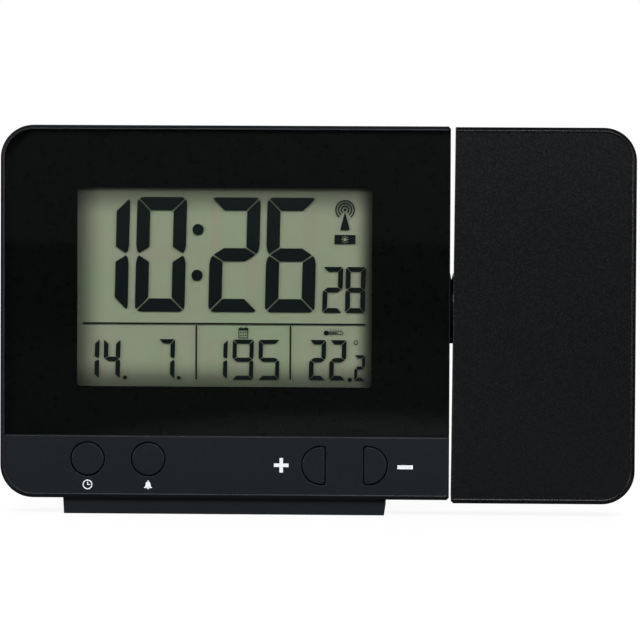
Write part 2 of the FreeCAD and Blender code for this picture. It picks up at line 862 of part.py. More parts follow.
def leaf_contact(base_x, z, side):
    """A sprung leaf bent into an arch, with both feet on its plate and its crown against the cell."""
    foot = cell_radius - contact_plate_margin - leaf_foot_inset
    crown = foot * 0.2
    inner = contact_spring_length - contact_plate_thickness
    outline = [(0, -foot), (contact_spring_length, -crown), (contact_spring_length, crown), (0, foot),
               (0, foot - 1.2 * contact_plate_thickness), (inner, crown - 0.4 * contact_plate_thickness),
               (inner, 0.4 * contact_plate_thickness - crown), (0, 1.2 * contact_plate_thickness - foot)]
    points = [(base_x + side * reach, z + rise) for reach, rise in outline]
    return polygon_along_y(points, cell_y - leaf_width / 2, cell_y + leaf_width / 2)


def make_battery_contacts():
    half_width = cell_radius - contact_plate_margin
    y0 = cell_y - half_width
    y1 = cell_y + half_width
    right_inner = tray_right - contact_plate_thickness
    left_inner = tray_left + contact_plate_thickness
    bridge = box(right_inner, tray_right, y0, y1, low_cell_z - half_width, high_cell_z + half_width)
    low_plate = box(tray_left, left_inner, y0, y1, low_cell_z - half_width, low_cell_z + half_width)
    high_plate = box(tray_left, left_inner, y0, y1, high_cell_z - half_width, high_cell_z + half_width)
    half_dimple = contact_dimple_side / 2
    right_dimple = box(low_cell_right, right_inner, cell_y - half_dimple, cell_y + half_dimple,
                       low_cell_z - half_dimple, low_cell_z + half_dimple)
    left_dimple = box(left_inner, high_cell_left, cell_y - half_dimple, cell_y + half_dimple,
                      high_cell_z - half_dimple, high_cell_z + half_dimple)
    add("contact_plates", bridge.fuse(right_dimple), low_plate, high_plate.fuse(left_dimple))
    add("contact_springs", leaf_contact(left_inner, low_cell_z, 1), leaf_contact(right_inner, high_cell_z, -1))
    add("battery_cells", cell(low_cell_right, low_cell_z, 1), cell(high_cell_left, high_cell_z, -1))


# Boards, switches and what is soldered to them


def make_main_board():
    add("main_board", box(board_left, board_right, board_front, board_back, board_bottom, board_top))
    chip_x = board_left + chip_inset
    chip_z = board_bottom + chip_lift
    half_chip = chip_side / 2
    processor = post_y(chip_x, chip_z, chip_side, board_back, board_back + chip_rise)
    crystal_z = chip_z + half_chip + crystal_gap
    crystal = box(chip_x - crystal_length / 2, chip_x + crystal_length / 2, board_back, board_back + crystal_width,
                  crystal_z, crystal_z + crystal_width)
    capacitor_x = chip_x + half_chip + capacitor_gap
    capacitor = box(capacitor_x, capacitor_x + capacitor_length, board_back, board_back + capacitor_height,
                    chip_z, chip_z + capacitor_width)
    link_x = rear_board_left + link_inset
    link_z = rear_board_bottom + link_margin
    link = box(link_x, link_x + link_length, board_back, rear_board_front, link_z, link_z + link_width)
    resistor_places = [board_left + resistor_inset + index * resistor_pitch for index in range(resistor_count)]
    chips = [box(x, x + resistor_length, board_back, board_back + resistor_height, chip_z, chip_z + resistor_width)
             for x in resistor_places]
    plug = box(board_right, board_right + plug_length, seam - plug_height / 2, seam + plug_height / 2,
               hinge_z - plug_width / 2, hinge_z + plug_width / 2)
    add("board_parts", processor, crystal, capacitor, link, plug, *chips)
    switches = [placed(switch_body(), Vector(x, board_front, z), Vector(0, -1, 0))
                for x, z in ((time_button_x, round_button_z), (alarm_button_x, round_button_z),
                             (plus_button_x, d_button_z), (minus_button_x, d_button_z))]
    base = Vector(snooze_switch_x, snooze_switch_y, snooze_switch_base)
    switches.append(placed(switch_body(), base, Vector(0, 0, 1)))
    switches += [placed(switch_body(), Vector(x, rear_board_back, rear_row_z), Vector(0, 1, 0))
                 for x in (flip_button_x, wave_button_x)]
    add("push_switches", *switches)


def make_rear_board():
    add("rear_board", box(rear_board_left, rear_board_right, rear_board_front, rear_board_back,
                          rear_board_bottom, rear_board_top))
    half_width = slide_switch_width / 2
    half_height = slide_switch_height / 2
    top = rear_board_back + slide_switch_rise
    case = box(slide_switch_x - half_width, slide_switch_x + half_width, rear_board_back, top,
               rear_row_z - half_height, rear_row_z + half_height)
    half_slot = (knob_tongue_width + slide_travel) / 2 + knob_gap
    slot = box(slide_switch_x - half_slot, slide_switch_x + half_slot, top - slide_slot_depth, top,
               rear_row_z - knob_tongue_height / 2 - 0.1, rear_row_z + knob_tongue_height / 2 + 0.1)
    add("slide_switch", case.cut(slot))
    make_projection_knob(top)
    make_supply_jack()


def make_projection_knob(switch_top):
    """The sliding knob: ribbed cap, cover plate behind the slot, and a tongue into the switch."""
    x = slide_switch_x - slide_travel / 2
    plate_back = slab_inner_back - knob_plate_gap
    plate_front = plate_back - knob_plate_thickness
    half_width = knob_width / 2
    half_height = knob_height / 2
    cap = box(x - half_width, x + half_width, plate_back, slab_back + knob_rise,
              rear_row_z - half_height, rear_row_z + half_height)
    grips = [box(x + offset - 0.2, x + offset + 0.2, slab_back + knob_rise - 0.4, slab_back + knob_rise + 1,
                 rear_row_z - knob_height, rear_row_z + knob_height) for offset in (-1.0, 0.0, 1.0)]
    cover = box(x - half_width - knob_plate_lap, x + half_width + knob_plate_lap, plate_front, plate_back,
                rear_row_z - half_height - 1, rear_row_z + half_height + 1)
    tongue = box(x - knob_tongue_width / 2, x + knob_tongue_width / 2, switch_top - knob_tongue_reach, plate_front,
                 rear_row_z - knob_tongue_height / 2, rear_row_z + knob_tongue_height / 2)
    add("projection_knob", fuse_all(cap.cut(grips), [cover, tongue]))


def make_supply_jack():
    half = jack_side / 2
    case = box(jack_x - half, jack_x + half, rear_board_back, slab_inner_back, rear_row_z - half, rear_row_z + half)
    nose = rod_y(jack_x, rear_row_z, jack_nose_radius, slab_inner_back, slab_back)
    bore = rod_y(jack_x, rear_row_z, jack_bore_radius, slab_back - jack_bore_depth, slab_back)
    add("supply_jack", case.fuse(nose).cut(bore))


def make_rear_buttons():
    flange_front = slab_inner_back - rear_button_flange_thickness
    for name, x in (("flip", flip_button_x), ("wave", wave_button_x)):
        cap = rod_y(x, rear_row_z, rear_button_radius, slab_inner_back, slab_back + rear_button_rise)
        flange = post_y(x, rear_row_z, 2 * (rear_button_radius + rear_button_gap + rear_button_flange_lap),
                        flange_front, slab_inner_back)
        stem = post_y(x, rear_row_z, plunger_side, flange_front - rear_button_stem, flange_front)
        add(name + "_button", fuse_all(cap, [flange, stem]))
        add(name + "_plunger", placed(switch_plunger(), Vector(x, rear_board_back, rear_row_z), Vector(0, 1, 0)))


def make_radio_and_sound():
    rod_right = rod_left + rod_length
    coil_left = (rod_left + rod_right - coil_length) / 2
    coil_right = coil_left + coil_length
    low = rod_z_place - rod_height / 2
    high = rod_z_place + rod_height / 2
    add("ferrite_rod", box(rod_left, rod_right, rod_front, rod_back, low, high))
    coil = box(coil_left, coil_right, rod_front - coil_build, rod_back + coil_build, low - coil_build, high + coil_build)
    add("antenna_coil", coil.cut(box(coil_left, coil_right, rod_front, rod_back, low, high)))
    seat = slab_inner_back - buzzer_seat_height
    add("buzzer", rod_y(buzzer_x, buzzer_z, buzzer_radius, seat - buzzer_thickness, seat))
    bead_x = board_left + bead_inset
    bead_z = board_bottom + bead_inset
    bead_y = board_back + bead_lead_length
    leads = [post_y(bead_x + side * bead_lead_spread, bead_z, bead_lead_side, board_back, bead_y)
             for side in (-1, 1)]
    bead = post_y(bead_x, bead_z, bead_side, bead_y, bead_y + bead_side)
    add("temperature_sensor", fuse_all(bead, leads))


# Hinge: hub with its two flanges, friction washer, and the wires through its bore

hub_start = body_right - wall - washer_thickness - hub_flange_thickness
hub_inner_face = arm_left + wall
hub_end = hub_inner_face + hub_flange_thickness


def make_hinge():
    journal = rod_x(seam, hinge_z, journal_radius, hub_start, hub_end)
    casing_flange = rod_x(seam, hinge_z, hub_flange_radius, hub_start, hub_start + hub_flange_thickness)
    half = hub_flat_offset
    arm_flange = box(hub_inner_face, hub_end, seam - half, seam + half, hinge_z - half, hinge_z + half)
    hub = fuse_all(journal, [casing_flange, arm_flange])
    half_bore = hub_bore_height / 2
    half_width = hub_bore_width / 2
    bore = box(hub_start, hub_end, seam - half_bore, seam + half_bore, hinge_z - half_width, hinge_z + half_width)
    add("hinge_hub", hub.cut(bore))
    washer_left = body_right - wall - washer_thickness
    reach = hub_flange_radius
    washer = box(washer_left, body_right - wall, seam - reach, seam + reach, hinge_z - reach, hinge_z + reach)
    add("friction_washer", washer.cut(hinge_journal_hole(washer_left, body_right - wall)))


def ribbon(x0, x1):
    return box(x0, x1, seam - ribbon_thickness / 2, seam + ribbon_thickness / 2,
               hinge_z - ribbon_width / 2, hinge_z + ribbon_width / 2)


def make_looms():
    """The cable lies on the hinge's axis: the arm's length turns against the casing's where they meet."""
    meeting = hub_start - loom_gap
    add("casing_loom", ribbon(board_right + plug_length, meeting))
    add("arm_loom", ribbon(meeting, arm_plug_x))


# Projector arm shells

arm_corners = (0, corner_radius, corner_radius, 0)
projector_z = arm_top - projector_drop
slit_face = arm_left + slit_draft * (hinge_z - arm_bottom) / (arm_top - arm_bottom)
projector_y = front + projector_board_front
lamp_front = projector_y + board_thickness
flange_back = slab_inner_back - projector_post_height
flange_front = flange_back - projector_flange_thickness
tube_end = slab_back + tube_reach
lamp_half = lamp_house_side / 2
arm_plug_x = arm_middle - arm_plug_length / 2
arm_screw_places = [(arm_middle, arm_bottom + screw_inset), (arm_middle, arm_top - screw_inset)]
flange_post_offset = (projector_flange_side - standoff_side) / 2
flange_post_places = [(arm_middle + across * flange_post_offset, projector_z + up * flange_post_offset)
                      for across in (-1, 1) for up in (-1, 1)]


def slit_wedge():
    """What the draft of the arm's slit side takes off: nothing at the bottom, its whole width at the top."""
    return polygon_along_y([(arm_left - 1, arm_bottom - 1), (arm_left, arm_bottom), (arm_left + slit_draft, arm_top),
                            (arm_left + slit_draft, arm_top + 1), (arm_left - 1, arm_top + 1)],
                           front - 1, slab_back + 1)


def arm_collar():
    """The raised ring on the arm's side of the slit, with the same home mark."""
    reach = slit_face - collar_height
    collar = rod_x(seam, hinge_z, collar_radius, reach, arm_left + wall / 2)
    mark_low = hinge_z + collar_radius - collar_mark_depth
    mark_high = hinge_z + collar_radius
    mark = polygon_along_y([(reach, mark_low), (slit_face, mark_high), (reach, mark_high)],
                           seam - collar_radius, seam + collar_radius)
    return collar.cut(mark)


def hub_ribs(y0, y1):
    """Ribs that hold the flats of the hub's flange, so that the hub turns with the arm."""
    x0 = arm_left + wall / 2
    x1 = hub_inner_face + hub_flange_thickness
    return [box(x0, x1, y0, y1, hinge_z + hub_flat_offset, hinge_z + hub_flat_offset + hub_rib_width),
            box(x0, x1, y0, y1, hinge_z - hub_flat_offset - hub_rib_width, hinge_z - hub_flat_offset)]


def arm_plate(inset, y0, y1):
    corners = tuple(max(radius - inset, 0) for radius in arm_corners)
    return plate(arm_left + inset, arm_right - inset, arm_bottom + inset, arm_top - inset, corners, y0, y1)


def make_arm_front_shell():
    shell = outer_slab(arm_left, arm_right, arm_bottom, arm_top, arm_corners, arm_left, front, seam, front)
    shell = shell.cut(slit_wedge())
    inner_radius = corner_radius - rim_width
    face = plate(arm_left - 1, arm_right - rim_width, arm_bottom + rim_width, arm_top - rim_width,
                 (0, inner_radius, inner_radius, 0), front - 1, lens_face)
    inner_front = lens_face + wall
    shell = shell.cut(face).cut(arm_plate(wall, inner_front, seam))
    posts = [post_y(x, z, post_side, inner_front - 0.5, seam) for x, z in arm_screw_places]
    collar = arm_collar().common(box(body_right, arm_right, front, seam, arm_bottom, arm_top))
    pad_offset = lamp_half - 1
    pads = [post_y(arm_middle + across * pad_offset, projector_z + up * pad_offset, standoff_side,
                   inner_front - 0.5, projector_y) for across in (-1, 1) for up in (-1, 1)]
    shell = fuse_all(shell, posts + [collar] + hub_ribs(inner_front - 0.5, seam) + pads)
    add("arm_front_shell", shell.cut(hinge_journal_hole(body_right, hub_inner_face)))


def make_arm_rear_shell():
    shell = outer_slab(arm_left, arm_right, arm_bottom, arm_top, arm_corners, arm_left, seam, slab_back, slab_back)
    shell = shell.cut(slit_wedge())
    shell = shell.cut(arm_plate(wall, seam, slab_inner_back))
    posts = [post_y(x, z, post_side, seam, slab_back - 1) for x, z in arm_screw_places]
    posts += [post_y(x, z, standoff_side, flange_back, slab_inner_back + 1) for x, z in flange_post_places]
    collar = arm_collar().common(box(body_right, arm_right, seam, slab_back, arm_bottom, arm_top))
    shell = fuse_all(shell, [collar] + posts + hub_ribs(seam, slab_inner_back + 1))
    holes = [screw_recess(x, z) for x, z in arm_screw_places]
    holes.append(rod_y(arm_middle, projector_z, tube_radius + tube_hole_gap, slab_inner_back - 1, slab_back + 1))
    holes.append(hinge_journal_hole(body_right, hub_inner_face))
    add("arm_rear_shell", shell.cut(holes))


# Projector: board and light source, condenser, image slide, tube, focus ring and lens barrel

condenser_front = lamp_front + condenser_seat_depth
condenser_back = condenser_front + condenser_edge + condenser_bulge
slide_front = condenser_back + aperture_length
slide_back = slide_front + slide_thickness + 2 * slide_clearance
barrel_back = front + barrel_start
barrel_end = barrel_back + barrel_length
pin_y = barrel_back + focus_pin_place
ring_start = slab_back + ring_gap
ring_end = ring_start + ring_length
clip_start = ring_end + ring_gap


def make_lamp():
    half_board = lamp_half + projector_board_margin
    add("projector_board", box(arm_middle - half_board, arm_middle + half_board, projector_y, lamp_front,
                               hinge_z - projector_board_tail, projector_z + half_board))
    base = post_y(arm_middle, projector_z, led_base_side, lamp_front, lamp_front + led_base_height)
    window = post_y(arm_middle, projector_z, led_window_side, lamp_front + led_base_height,
                    lamp_front + led_base_height * 1.5)
    add("projector_led", base.fuse(window))
    half_width = plug_width / 2
    add("arm_plug", box(arm_plug_x, arm_plug_x + arm_plug_length, lamp_front, seam + half_width,
                        hinge_z - half_width, hinge_z + half_width))


def make_optics():
    condenser = post_y(arm_middle, projector_z, condenser_side, condenser_front, condenser_back)
    add("condenser_lens", condenser.makeChamfer(condenser_bulge, edges_at_y(condenser, condenser_back)))
    slide_y = slide_front + slide_clearance
    add("image_slide", post_y(arm_middle, projector_z, slide_side, slide_y, slide_y + slide_thickness))


def make_projector_tube():
    """Light box, condenser seat, slot for the image slide, and the tube with the slot that guides the pin."""
    body = post_y(arm_middle, projector_z, lamp_house_side, lamp_front, flange_back)
    flange = post_y(arm_middle, projector_z, projector_flange_side, flange_front, flange_back)
    tube = rod_y(arm_middle, projector_z, tube_radius, flange_front, tube_end)
    body = fuse_all(body, [flange, tube])
    half_slot = slide_side / 2 + slide_clearance
    hollows = [post_y(arm_middle, projector_z, lamp_house_side - 2 * lamp_house_wall, lamp_front, condenser_front),
               post_y(arm_middle, projector_z, condenser_side + 2 * condenser_clearance,
                      condenser_front, condenser_back),
               post_y(arm_middle, projector_z, aperture_side, condenser_back, slide_front),
               box(arm_middle - half_slot, arm_middle + half_slot, slide_front, slide_back,
                   projector_z - half_slot, projector_z + lamp_house_side),
               rod_y(arm_middle, projector_z, tube_bore_radius, slide_back, tube_end)]
    slot_half = focus_pin_radius + focus_slot_clearance
    hollows.append(box(arm_middle - slot_half, arm_middle + slot_half, pin_y - slot_half - focus_slot_clearance,
                       tube_end, projector_z, projector_z + tube_radius + 1))
    add("projector_tube", body.cut(hollows))


def focus_groove():
    """The helical groove in the focus ring: its turn is what drives the barrel's pin along the tube."""
    lead = focus_travel * 360 / focus_turn
    turn = focus_turn + 2 * focus_groove_margin_turn
    start_angle = math.radians(focus_groove_margin_turn)
    height = lead * turn / 360
    radius = tube_radius + ring_clearance
    depth = focus_groove_depth
    half_width = focus_pin_radius + focus_groove_clearance
    helix = Part.makeHelix(lead, height, radius, 0, True)
    corners = [Vector(radius - 1, 0, -half_width), Vector(radius + depth, 0, -half_width),
               Vector(radius + depth, 0, half_width), Vector(radius - 1, 0, half_width)]
    section = Part.makePolygon(corners + corners[:1])
    groove = Part.Wire(helix).makePipeShell([section], True, True)
    groove.rotate(Vector(0, 0, 0), Vector(0, 0, 1), math.degrees(start_angle))
    groove.translate(Vector(0, 0, -lead * focus_groove_margin_turn / 360))
    along_barrel = FreeCAD.Rotation(Vector(0, 0, 1), Vector(1, 0, 0), Vector(0, 1, 0))
    return placed_by(groove, Vector(arm_middle, pin_y, projector_z), along_barrel)


def placed_by(shape, point, rotation):
    moved = shape.copy()
    moved.Placement = FreeCAD.Placement(point, rotation).multiply(moved.Placement)
    return moved


def grip_outline():
    """The focus ring's outline: flat lands all round with a V between each and the next."""
    step = 2 * math.pi / ring_grip_count
    half_valley = ring_grip_width / 2 / ring_radius
    outline = []
    for index in range(ring_grip_count):
        angle = index * step
        for radius, offset in ((ring_radius, half_valley), (ring_radius, step - half_valley),
                               (ring_radius - ring_grip_depth, step)):
            outline.append((arm_middle + radius * math.cos(angle + offset),
                            projector_z + radius * math.sin(angle + offset)))
    return outline


def make_focus_ring():
    ring = polygon_along_y(grip_outline(), ring_start, ring_end)
    bore = rod_y(arm_middle, projector_z, tube_radius + ring_clearance, ring_start, ring_end)
    add("focus_ring", ring.cut([bore, focus_groove()]))
    add("ring_clip", ring_y(arm_middle, projector_z, tube_radius + collar_ring_rise, tube_radius, clip_start, tube_end))


def make_barrel():
    """The sliding barrel with its lens behind a lip; the pin stands through the tube into the ring."""
    outer = tube_bore_radius - barrel_clearance
    bore = lens_glass_radius + lens_seat_gap
    lip_back = barrel_end - lens_lip_thickness
    barrel = rod_y(arm_middle, projector_z, outer, barrel_back, barrel_end)
    barrel = barrel.cut([rod_y(arm_middle, projector_z, bore, barrel_back, lip_back),
                         rod_y(arm_middle, projector_z, lens_lip_radius, lip_back, barrel_end)])
    pin_tip = tube_radius + ring_clearance + focus_groove_depth - focus_pin_tip_gap
    pin = rod_z(arm_middle, pin_y, focus_pin_radius, projector_z + (outer + bore) / 2, projector_z + pin_tip)
    add("lens_barrel", barrel.fuse(pin))
    rise_at_lip = lens_glass_bulge * (lens_glass_radius - lens_lip_radius) / (lens_glass_radius - lens_glass_crown)
    lens_back_y = lip_back - rise_at_lip - lens_glass_edge
    crown = lens_glass_edge + lens_glass_bulge
    add("projection_lens", turned_y(arm_middle, projector_z, lens_back_y,
                                    [(0, 0), (lens_glass_radius, 0), (lens_glass_radius, lens_glass_edge),
                                     (lens_glass_crown, crown), (0, crown)]))


make_front_housing()
make_rear_housing()
make_display()
make_front_buttons()
make_snooze_bar()
make_main_board()
make_rear_board()
make_rear_buttons()
make_radio_and_sound()
make_battery_door()
make_battery_contacts()
make_hinge()
make_looms()
make_arm_front_shell()
make_arm_rear_shell()
make_lamp()
make_optics()
make_projector_tube()
make_focus_ring()
make_barrel()

os.makedirs("parts", exist_ok=True)
for name, shape in nodes.items():
    shape.exportStep(os.path.join("parts", name + ".step"))
    print(name, len(shape.Solids), round(shape.Volume, 1), shape.isValid())
print(len(nodes), "nodes")
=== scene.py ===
import json
import math

import bmesh
import bpy
from mathutils import Matrix, Vector


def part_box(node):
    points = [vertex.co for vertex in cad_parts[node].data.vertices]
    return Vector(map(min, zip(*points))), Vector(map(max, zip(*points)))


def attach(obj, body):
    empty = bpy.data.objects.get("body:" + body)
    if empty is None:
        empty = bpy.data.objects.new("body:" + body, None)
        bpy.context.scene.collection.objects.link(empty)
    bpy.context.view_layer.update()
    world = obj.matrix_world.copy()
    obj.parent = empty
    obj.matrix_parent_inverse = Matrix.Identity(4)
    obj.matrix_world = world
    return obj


# Projection alarm clock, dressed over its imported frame: display digits, printed signs, screws,
# materials, floor, lamps and camera. Lengths are written in millimetres and turned into metres by MM.

MM = 0.001

# Display: window border, digit sizes and places, measured from the window's lower left corner
PANEL_BORDER = 3.0
CONTACT_LEDGE = 3.0
DIGIT_LEAN = 0.021
BIG_DIGIT = {"width": 13.15, "height": 29.8, "thick": 3.75, "corner": 1.7, "gap": 0.36}
SECOND_DIGIT = {"width": 5.35, "height": 12.0, "thick": 1.45, "corner": 0.7, "gap": 0.2}
SMALL_DIGIT = {"width": 4.45, "height": 10.5, "thick": 1.35, "corner": 0.5, "gap": 0.2}
WIDE_DIGIT = {"width": 5.6, "height": 10.5, "thick": 1.25, "corner": 0.5, "gap": 0.2}
TINY_DIGIT = {"width": 2.95, "height": 6.75, "thick": 1.0, "corner": 0.35, "gap": 0.2}
BIG_BASE = 19.0
SMALL_BASE = 1.7
DISPLAY_READING = [
    ("1", BIG_DIGIT, -0.1, BIG_BASE), ("0", BIG_DIGIT, 14.55, BIG_BASE),
    ("2", BIG_DIGIT, 33.45, BIG_BASE), ("6", BIG_DIGIT, 48.0, BIG_BASE),
    ("2", SECOND_DIGIT, 62.8, BIG_BASE), ("8", SECOND_DIGIT, 68.65, BIG_BASE),
    ("1", SMALL_DIGIT, 1.15, SMALL_BASE), ("4", SMALL_DIGIT, 6.55, SMALL_BASE),
    ("7", SMALL_DIGIT, 20.6, SMALL_BASE),
    ("1", WIDE_DIGIT, 33.0, SMALL_BASE), ("9", WIDE_DIGIT, 39.7, SMALL_BASE), ("5", WIDE_DIGIT, 46.4, SMALL_BASE),
    ("2", SMALL_DIGIT, 59.45, SMALL_BASE), ("2", SMALL_DIGIT, 64.65, SMALL_BASE),
    ("2", TINY_DIGIT, 71.1, 1.6),
]
DISPLAY_DOTS = [(30.95, 40.3, 1.45), (30.72, 28.55, 1.45), (70.1, 1.95, 0.55), (12.3, 2.2, 0.5), (26.1, 2.2, 0.5)]
RULE_LEFT = 1.3
RULE_RIGHT = 74.0
RULE_HEIGHT = 16.15
RULE_THICK = 0.42
DIVIDERS = (30.6, 54.8)
DIVIDER_FOOT = 1.85
DEGREE_RING = (71.6, 11.5, 0.5, 0.17)
CALENDAR_CENTRE = (42.7, 13.9)
THERMOMETER_CENTRE = (66.0, 13.95)
MAST_CENTRE = (68.68, 45.55)
MAST_RINGS = (0.95, 1.65, 2.35)
MAST_LINE = 0.33
MAST_GAP_ANGLE = 76.0
MAST_BASE = 40.32
MAST_HALF_WIDTH = 1.24
SUMMER_BOX = (66.0, 36.75, 71.4, 39.12)
SEGMENT_LIFT = 0.42
SEGMENT_THICK = 0.02

# Printed signs on the button strip
SIGN_LIFT = 0.012
PLUS_SIDE = 3.75
PLUS_THICK = 0.93
PLUS_GAP = 4.12
MINUS_LENGTH = 4.0
MINUS_THICK = 1.03
MINUS_GAP = 3.46
MINUS_DROP = 0.29
BUTTON_SIGN_GAP = 1.21
CLOCK_SIGN_RADIUS = 1.12

# Signs printed on the back: how far each stands from what it names, and the size of its strokes
PRESS_SIGN_GAP = 2.6
KNOB_SIGN_GAP = 2.4
KNOB_SIGN_SPREAD = 2.4
JACK_SIGN_GAP = 2.0
FOCUS_SIGN_GAP = 2.6
FOCUS_SIGN_REACH = 3.0
BACK_SIGN_LINE = 0.24
WAVE_RADII = (0.9, 1.5, 2.1)
WAVE_LINE = 0.26

# Sleeve in the slit
SLEEVE_LEFT = 0.255
SLEEVE_WIDTH = 0.78
SLEEVE_INNER = 9.02
SLEEVE_OUTER = 9.12
SLEEVE_NOTCH = 1.9
SLEEVE_PARTING = 0.9
SLEEVE_STEPS = 96

# Case screws in the recesses of the back
SCREW_RADIUS = 2.45
SCREW_HEAD = 1.7
SCREW_INSET = 6.8
CROSS_REACH = 1.35
CROSS_HALF_WIDTH = 0.26
RECESS_DEPTH = 4.0
HOUSING_LIP = 0.34
ARM_DROP = 0.8

# Camera, where the photograph was taken from
CAMERA_PLACE = (0.03058, -1.019, 0.0874)
CAMERA_YAW = -1.712
CAMERA_PITCH = -2.126
CAMERA_ROLL = 0.272
CAMERA_LENS = 220.0
CAMERA_SENSOR = 36.0

# Floor and room
FLOOR_RADIUS = 4.0
FLOOR_DIM = (0.015, 0.015, 0.015)
# colour of the painted pool of light on the floor
FLOOR_PAINTED_POOL = (0.12, 0.12, 0.12)
FLOOR_GLOW = 0.9
# Pool of light painted into the floor's colour: centre, reach across X and Y, and blur of its edge
POOL_CENTRE = (0.0, -0.05)
POOL_REACH = (0.11, 0.38)
POOL_BLUR = 0.15
ROOM_FRONT = 0.05
ROOM_BACK = 0.7
ROOM_TURN = (0.15, 0.85)

# Lamps: name, place, width, height and power in watts; all point at the clock
LAMP_AIM = (0, 0, 0.05)
LAMPS = (
    ("lamp_top", (0.09, -0.88, 0.64), 0.7, 0.45, 10.0),
    ("lamp_left", (-0.95, -0.7, 0.26), 0.6, 0.5, 7.5),
    ("lamp_right", (0.95, -0.7, 0.26), 0.6, 0.5, 5.0),
    ("lamp_back", (0.1, 1.1, 0.8), 0.9, 0.6, 14.0),
)

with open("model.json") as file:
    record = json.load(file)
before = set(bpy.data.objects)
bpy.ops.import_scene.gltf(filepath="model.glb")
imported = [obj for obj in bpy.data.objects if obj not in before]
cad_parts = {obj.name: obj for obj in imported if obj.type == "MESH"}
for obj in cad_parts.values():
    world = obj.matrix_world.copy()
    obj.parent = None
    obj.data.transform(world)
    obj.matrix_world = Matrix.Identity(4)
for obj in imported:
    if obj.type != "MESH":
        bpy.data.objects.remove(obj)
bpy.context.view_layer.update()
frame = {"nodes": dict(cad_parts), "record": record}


# Places read from the frame, in metres


def low(node):
    return Vector(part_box(node)[0])


def high(node):
    return Vector(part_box(node)[1])


def centre(node):
    return (low(node) + high(node)) / 2


window_left = low("lcd_panel").x + PANEL_BORDER * MM
window_bottom = low("lcd_panel").z + (PANEL_BORDER + CONTACT_LEDGE) * MM
window_right = high("lcd_panel").x - PANEL_BORDER * MM
window_top = high("lcd_panel").z - PANEL_BORDER * MM
panel_front = low("lcd_panel").y
strip_front = low("display_lens").y

# Shade painted into the display's colour where the border's shadow falls: axis, edge, direction inwards, reach in
# mm, light left at the edge
PAINTED_EDGE_SHADES = (("X", window_left, 1, 7.5, 0.30), ("X", window_right, -1, 5.0, 0.05),
               ("Z", window_bottom, 1, 7.5, 0.24), ("Z", window_top, -1, 8.0, 0.30))


# Mesh helpers


def arc(x, z, radius, start, end, steps):
    """Points of an arc in the X-Z plane, angles in degrees from +X towards +Z."""
    angles = [math.radians(start + (end - start) * index / steps) for index in range(steps + 1)]
    return [(x + radius * math.cos(angle), z + radius * math.sin(angle)) for angle in angles]


def signed_area(points):
    pairs = zip(points, points[1:] + points[:1])
    return sum(a[0] * b[1] - b[0] * a[1] for a, b in pairs) / 2


def shrunk(points, distance):
    """The outline with each side moved inwards by the distance."""
    turn = 1 if signed_area(points) > 0 else -1
    count = len(points)
    moved = []
    for index in range(count):
        before = Vector(points[index - 1])
        here = Vector(points[index])
        after = Vector(points[(index + 1) % count])
        first = (here - before).normalized()
        second = (after - here).normalized()
        first_normal = Vector((-first.y, first.x)) * turn
        second_normal = Vector((-second.y, second.x)) * turn
        bisector = (first_normal + second_normal).normalized()
        reach = distance / max(bisector.dot(first_normal), 0.3)
        moved.append(tuple(here + bisector * reach))
    return moved


def finished(name, bm, material, body):
    """Makes an object of the mesh, with its material, body and slot."""
    mesh = bpy.data.meshes.new(name)
    bmesh.ops.recalc_face_normals(bm, faces=bm.faces)
    bm.to_mesh(mesh)
    bm.free()
    mesh.materials.append(material)
    piece = bpy.data.objects.new(name, mesh)
    bpy.context.scene.collection.objects.link(piece)
    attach(piece, body)
    return piece


def sheet(name, outlines, rings, back, thickness, material, body, direction=-1):
    """Thin raised areas on a plane across Y: filled outlines, and rings between two outlines of equal count."""
    bm = bmesh.new()
    faces = []
    for points in outlines:
        verts = [bm.verts.new((x * MM, back, z * MM)) for x, z in points]
        faces.append(bm.faces.new(verts))
    for outer, inner, closed in rings:
        outer_verts = [bm.verts.new((x * MM, back, z * MM)) for x, z in outer]
        inner_verts = [bm.verts.new((x * MM, back, z * MM)) for x, z in inner]
        count = len(outer_verts)
        for index in range(count if closed else count - 1):
            after = (index + 1) % count
            corners = (outer_verts[index], outer_verts[after], inner_verts[after], inner_verts[index])
            faces.append(bm.faces.new(corners))
    raised = bmesh.ops.extrude_face_region(bm, geom=faces)
    verts = [item for item in raised["geom"] if isinstance(item, bmesh.types.BMVert)]
    bmesh.ops.translate(bm, verts=verts, vec=(0, direction * thickness, 0))
    return finished(name, bm, material, body)


def ring_outlines(x, z, radius, line, start=0.0, end=360.0, steps=32):
    """Outer and inner edge of a ring, or of an arc of one, as sheet() takes them."""
    closed = end - start >= 360.0
    last = end - (end - start) / steps if closed else end
    outer = arc(x, z, radius + line / 2, start, last, steps - 1 if closed else steps)
    inner = arc(x, z, radius - line / 2, start, last, steps - 1 if closed else steps)
    return outer, inner, closed


def rectangle(x0, z0, x1, z1):
    return [(x0, z0), (x1, z0), (x1, z1), (x0, z1)]


# Seven-segment digits

LIT = {"0": "abcdef", "1": "bc", "2": "abdeg", "3": "abcdg", "4": "bcfg", "5": "acdfg", "6": "acdefg",
       "7": "abc", "8": "abcdefg", "9": "abcdfg"}


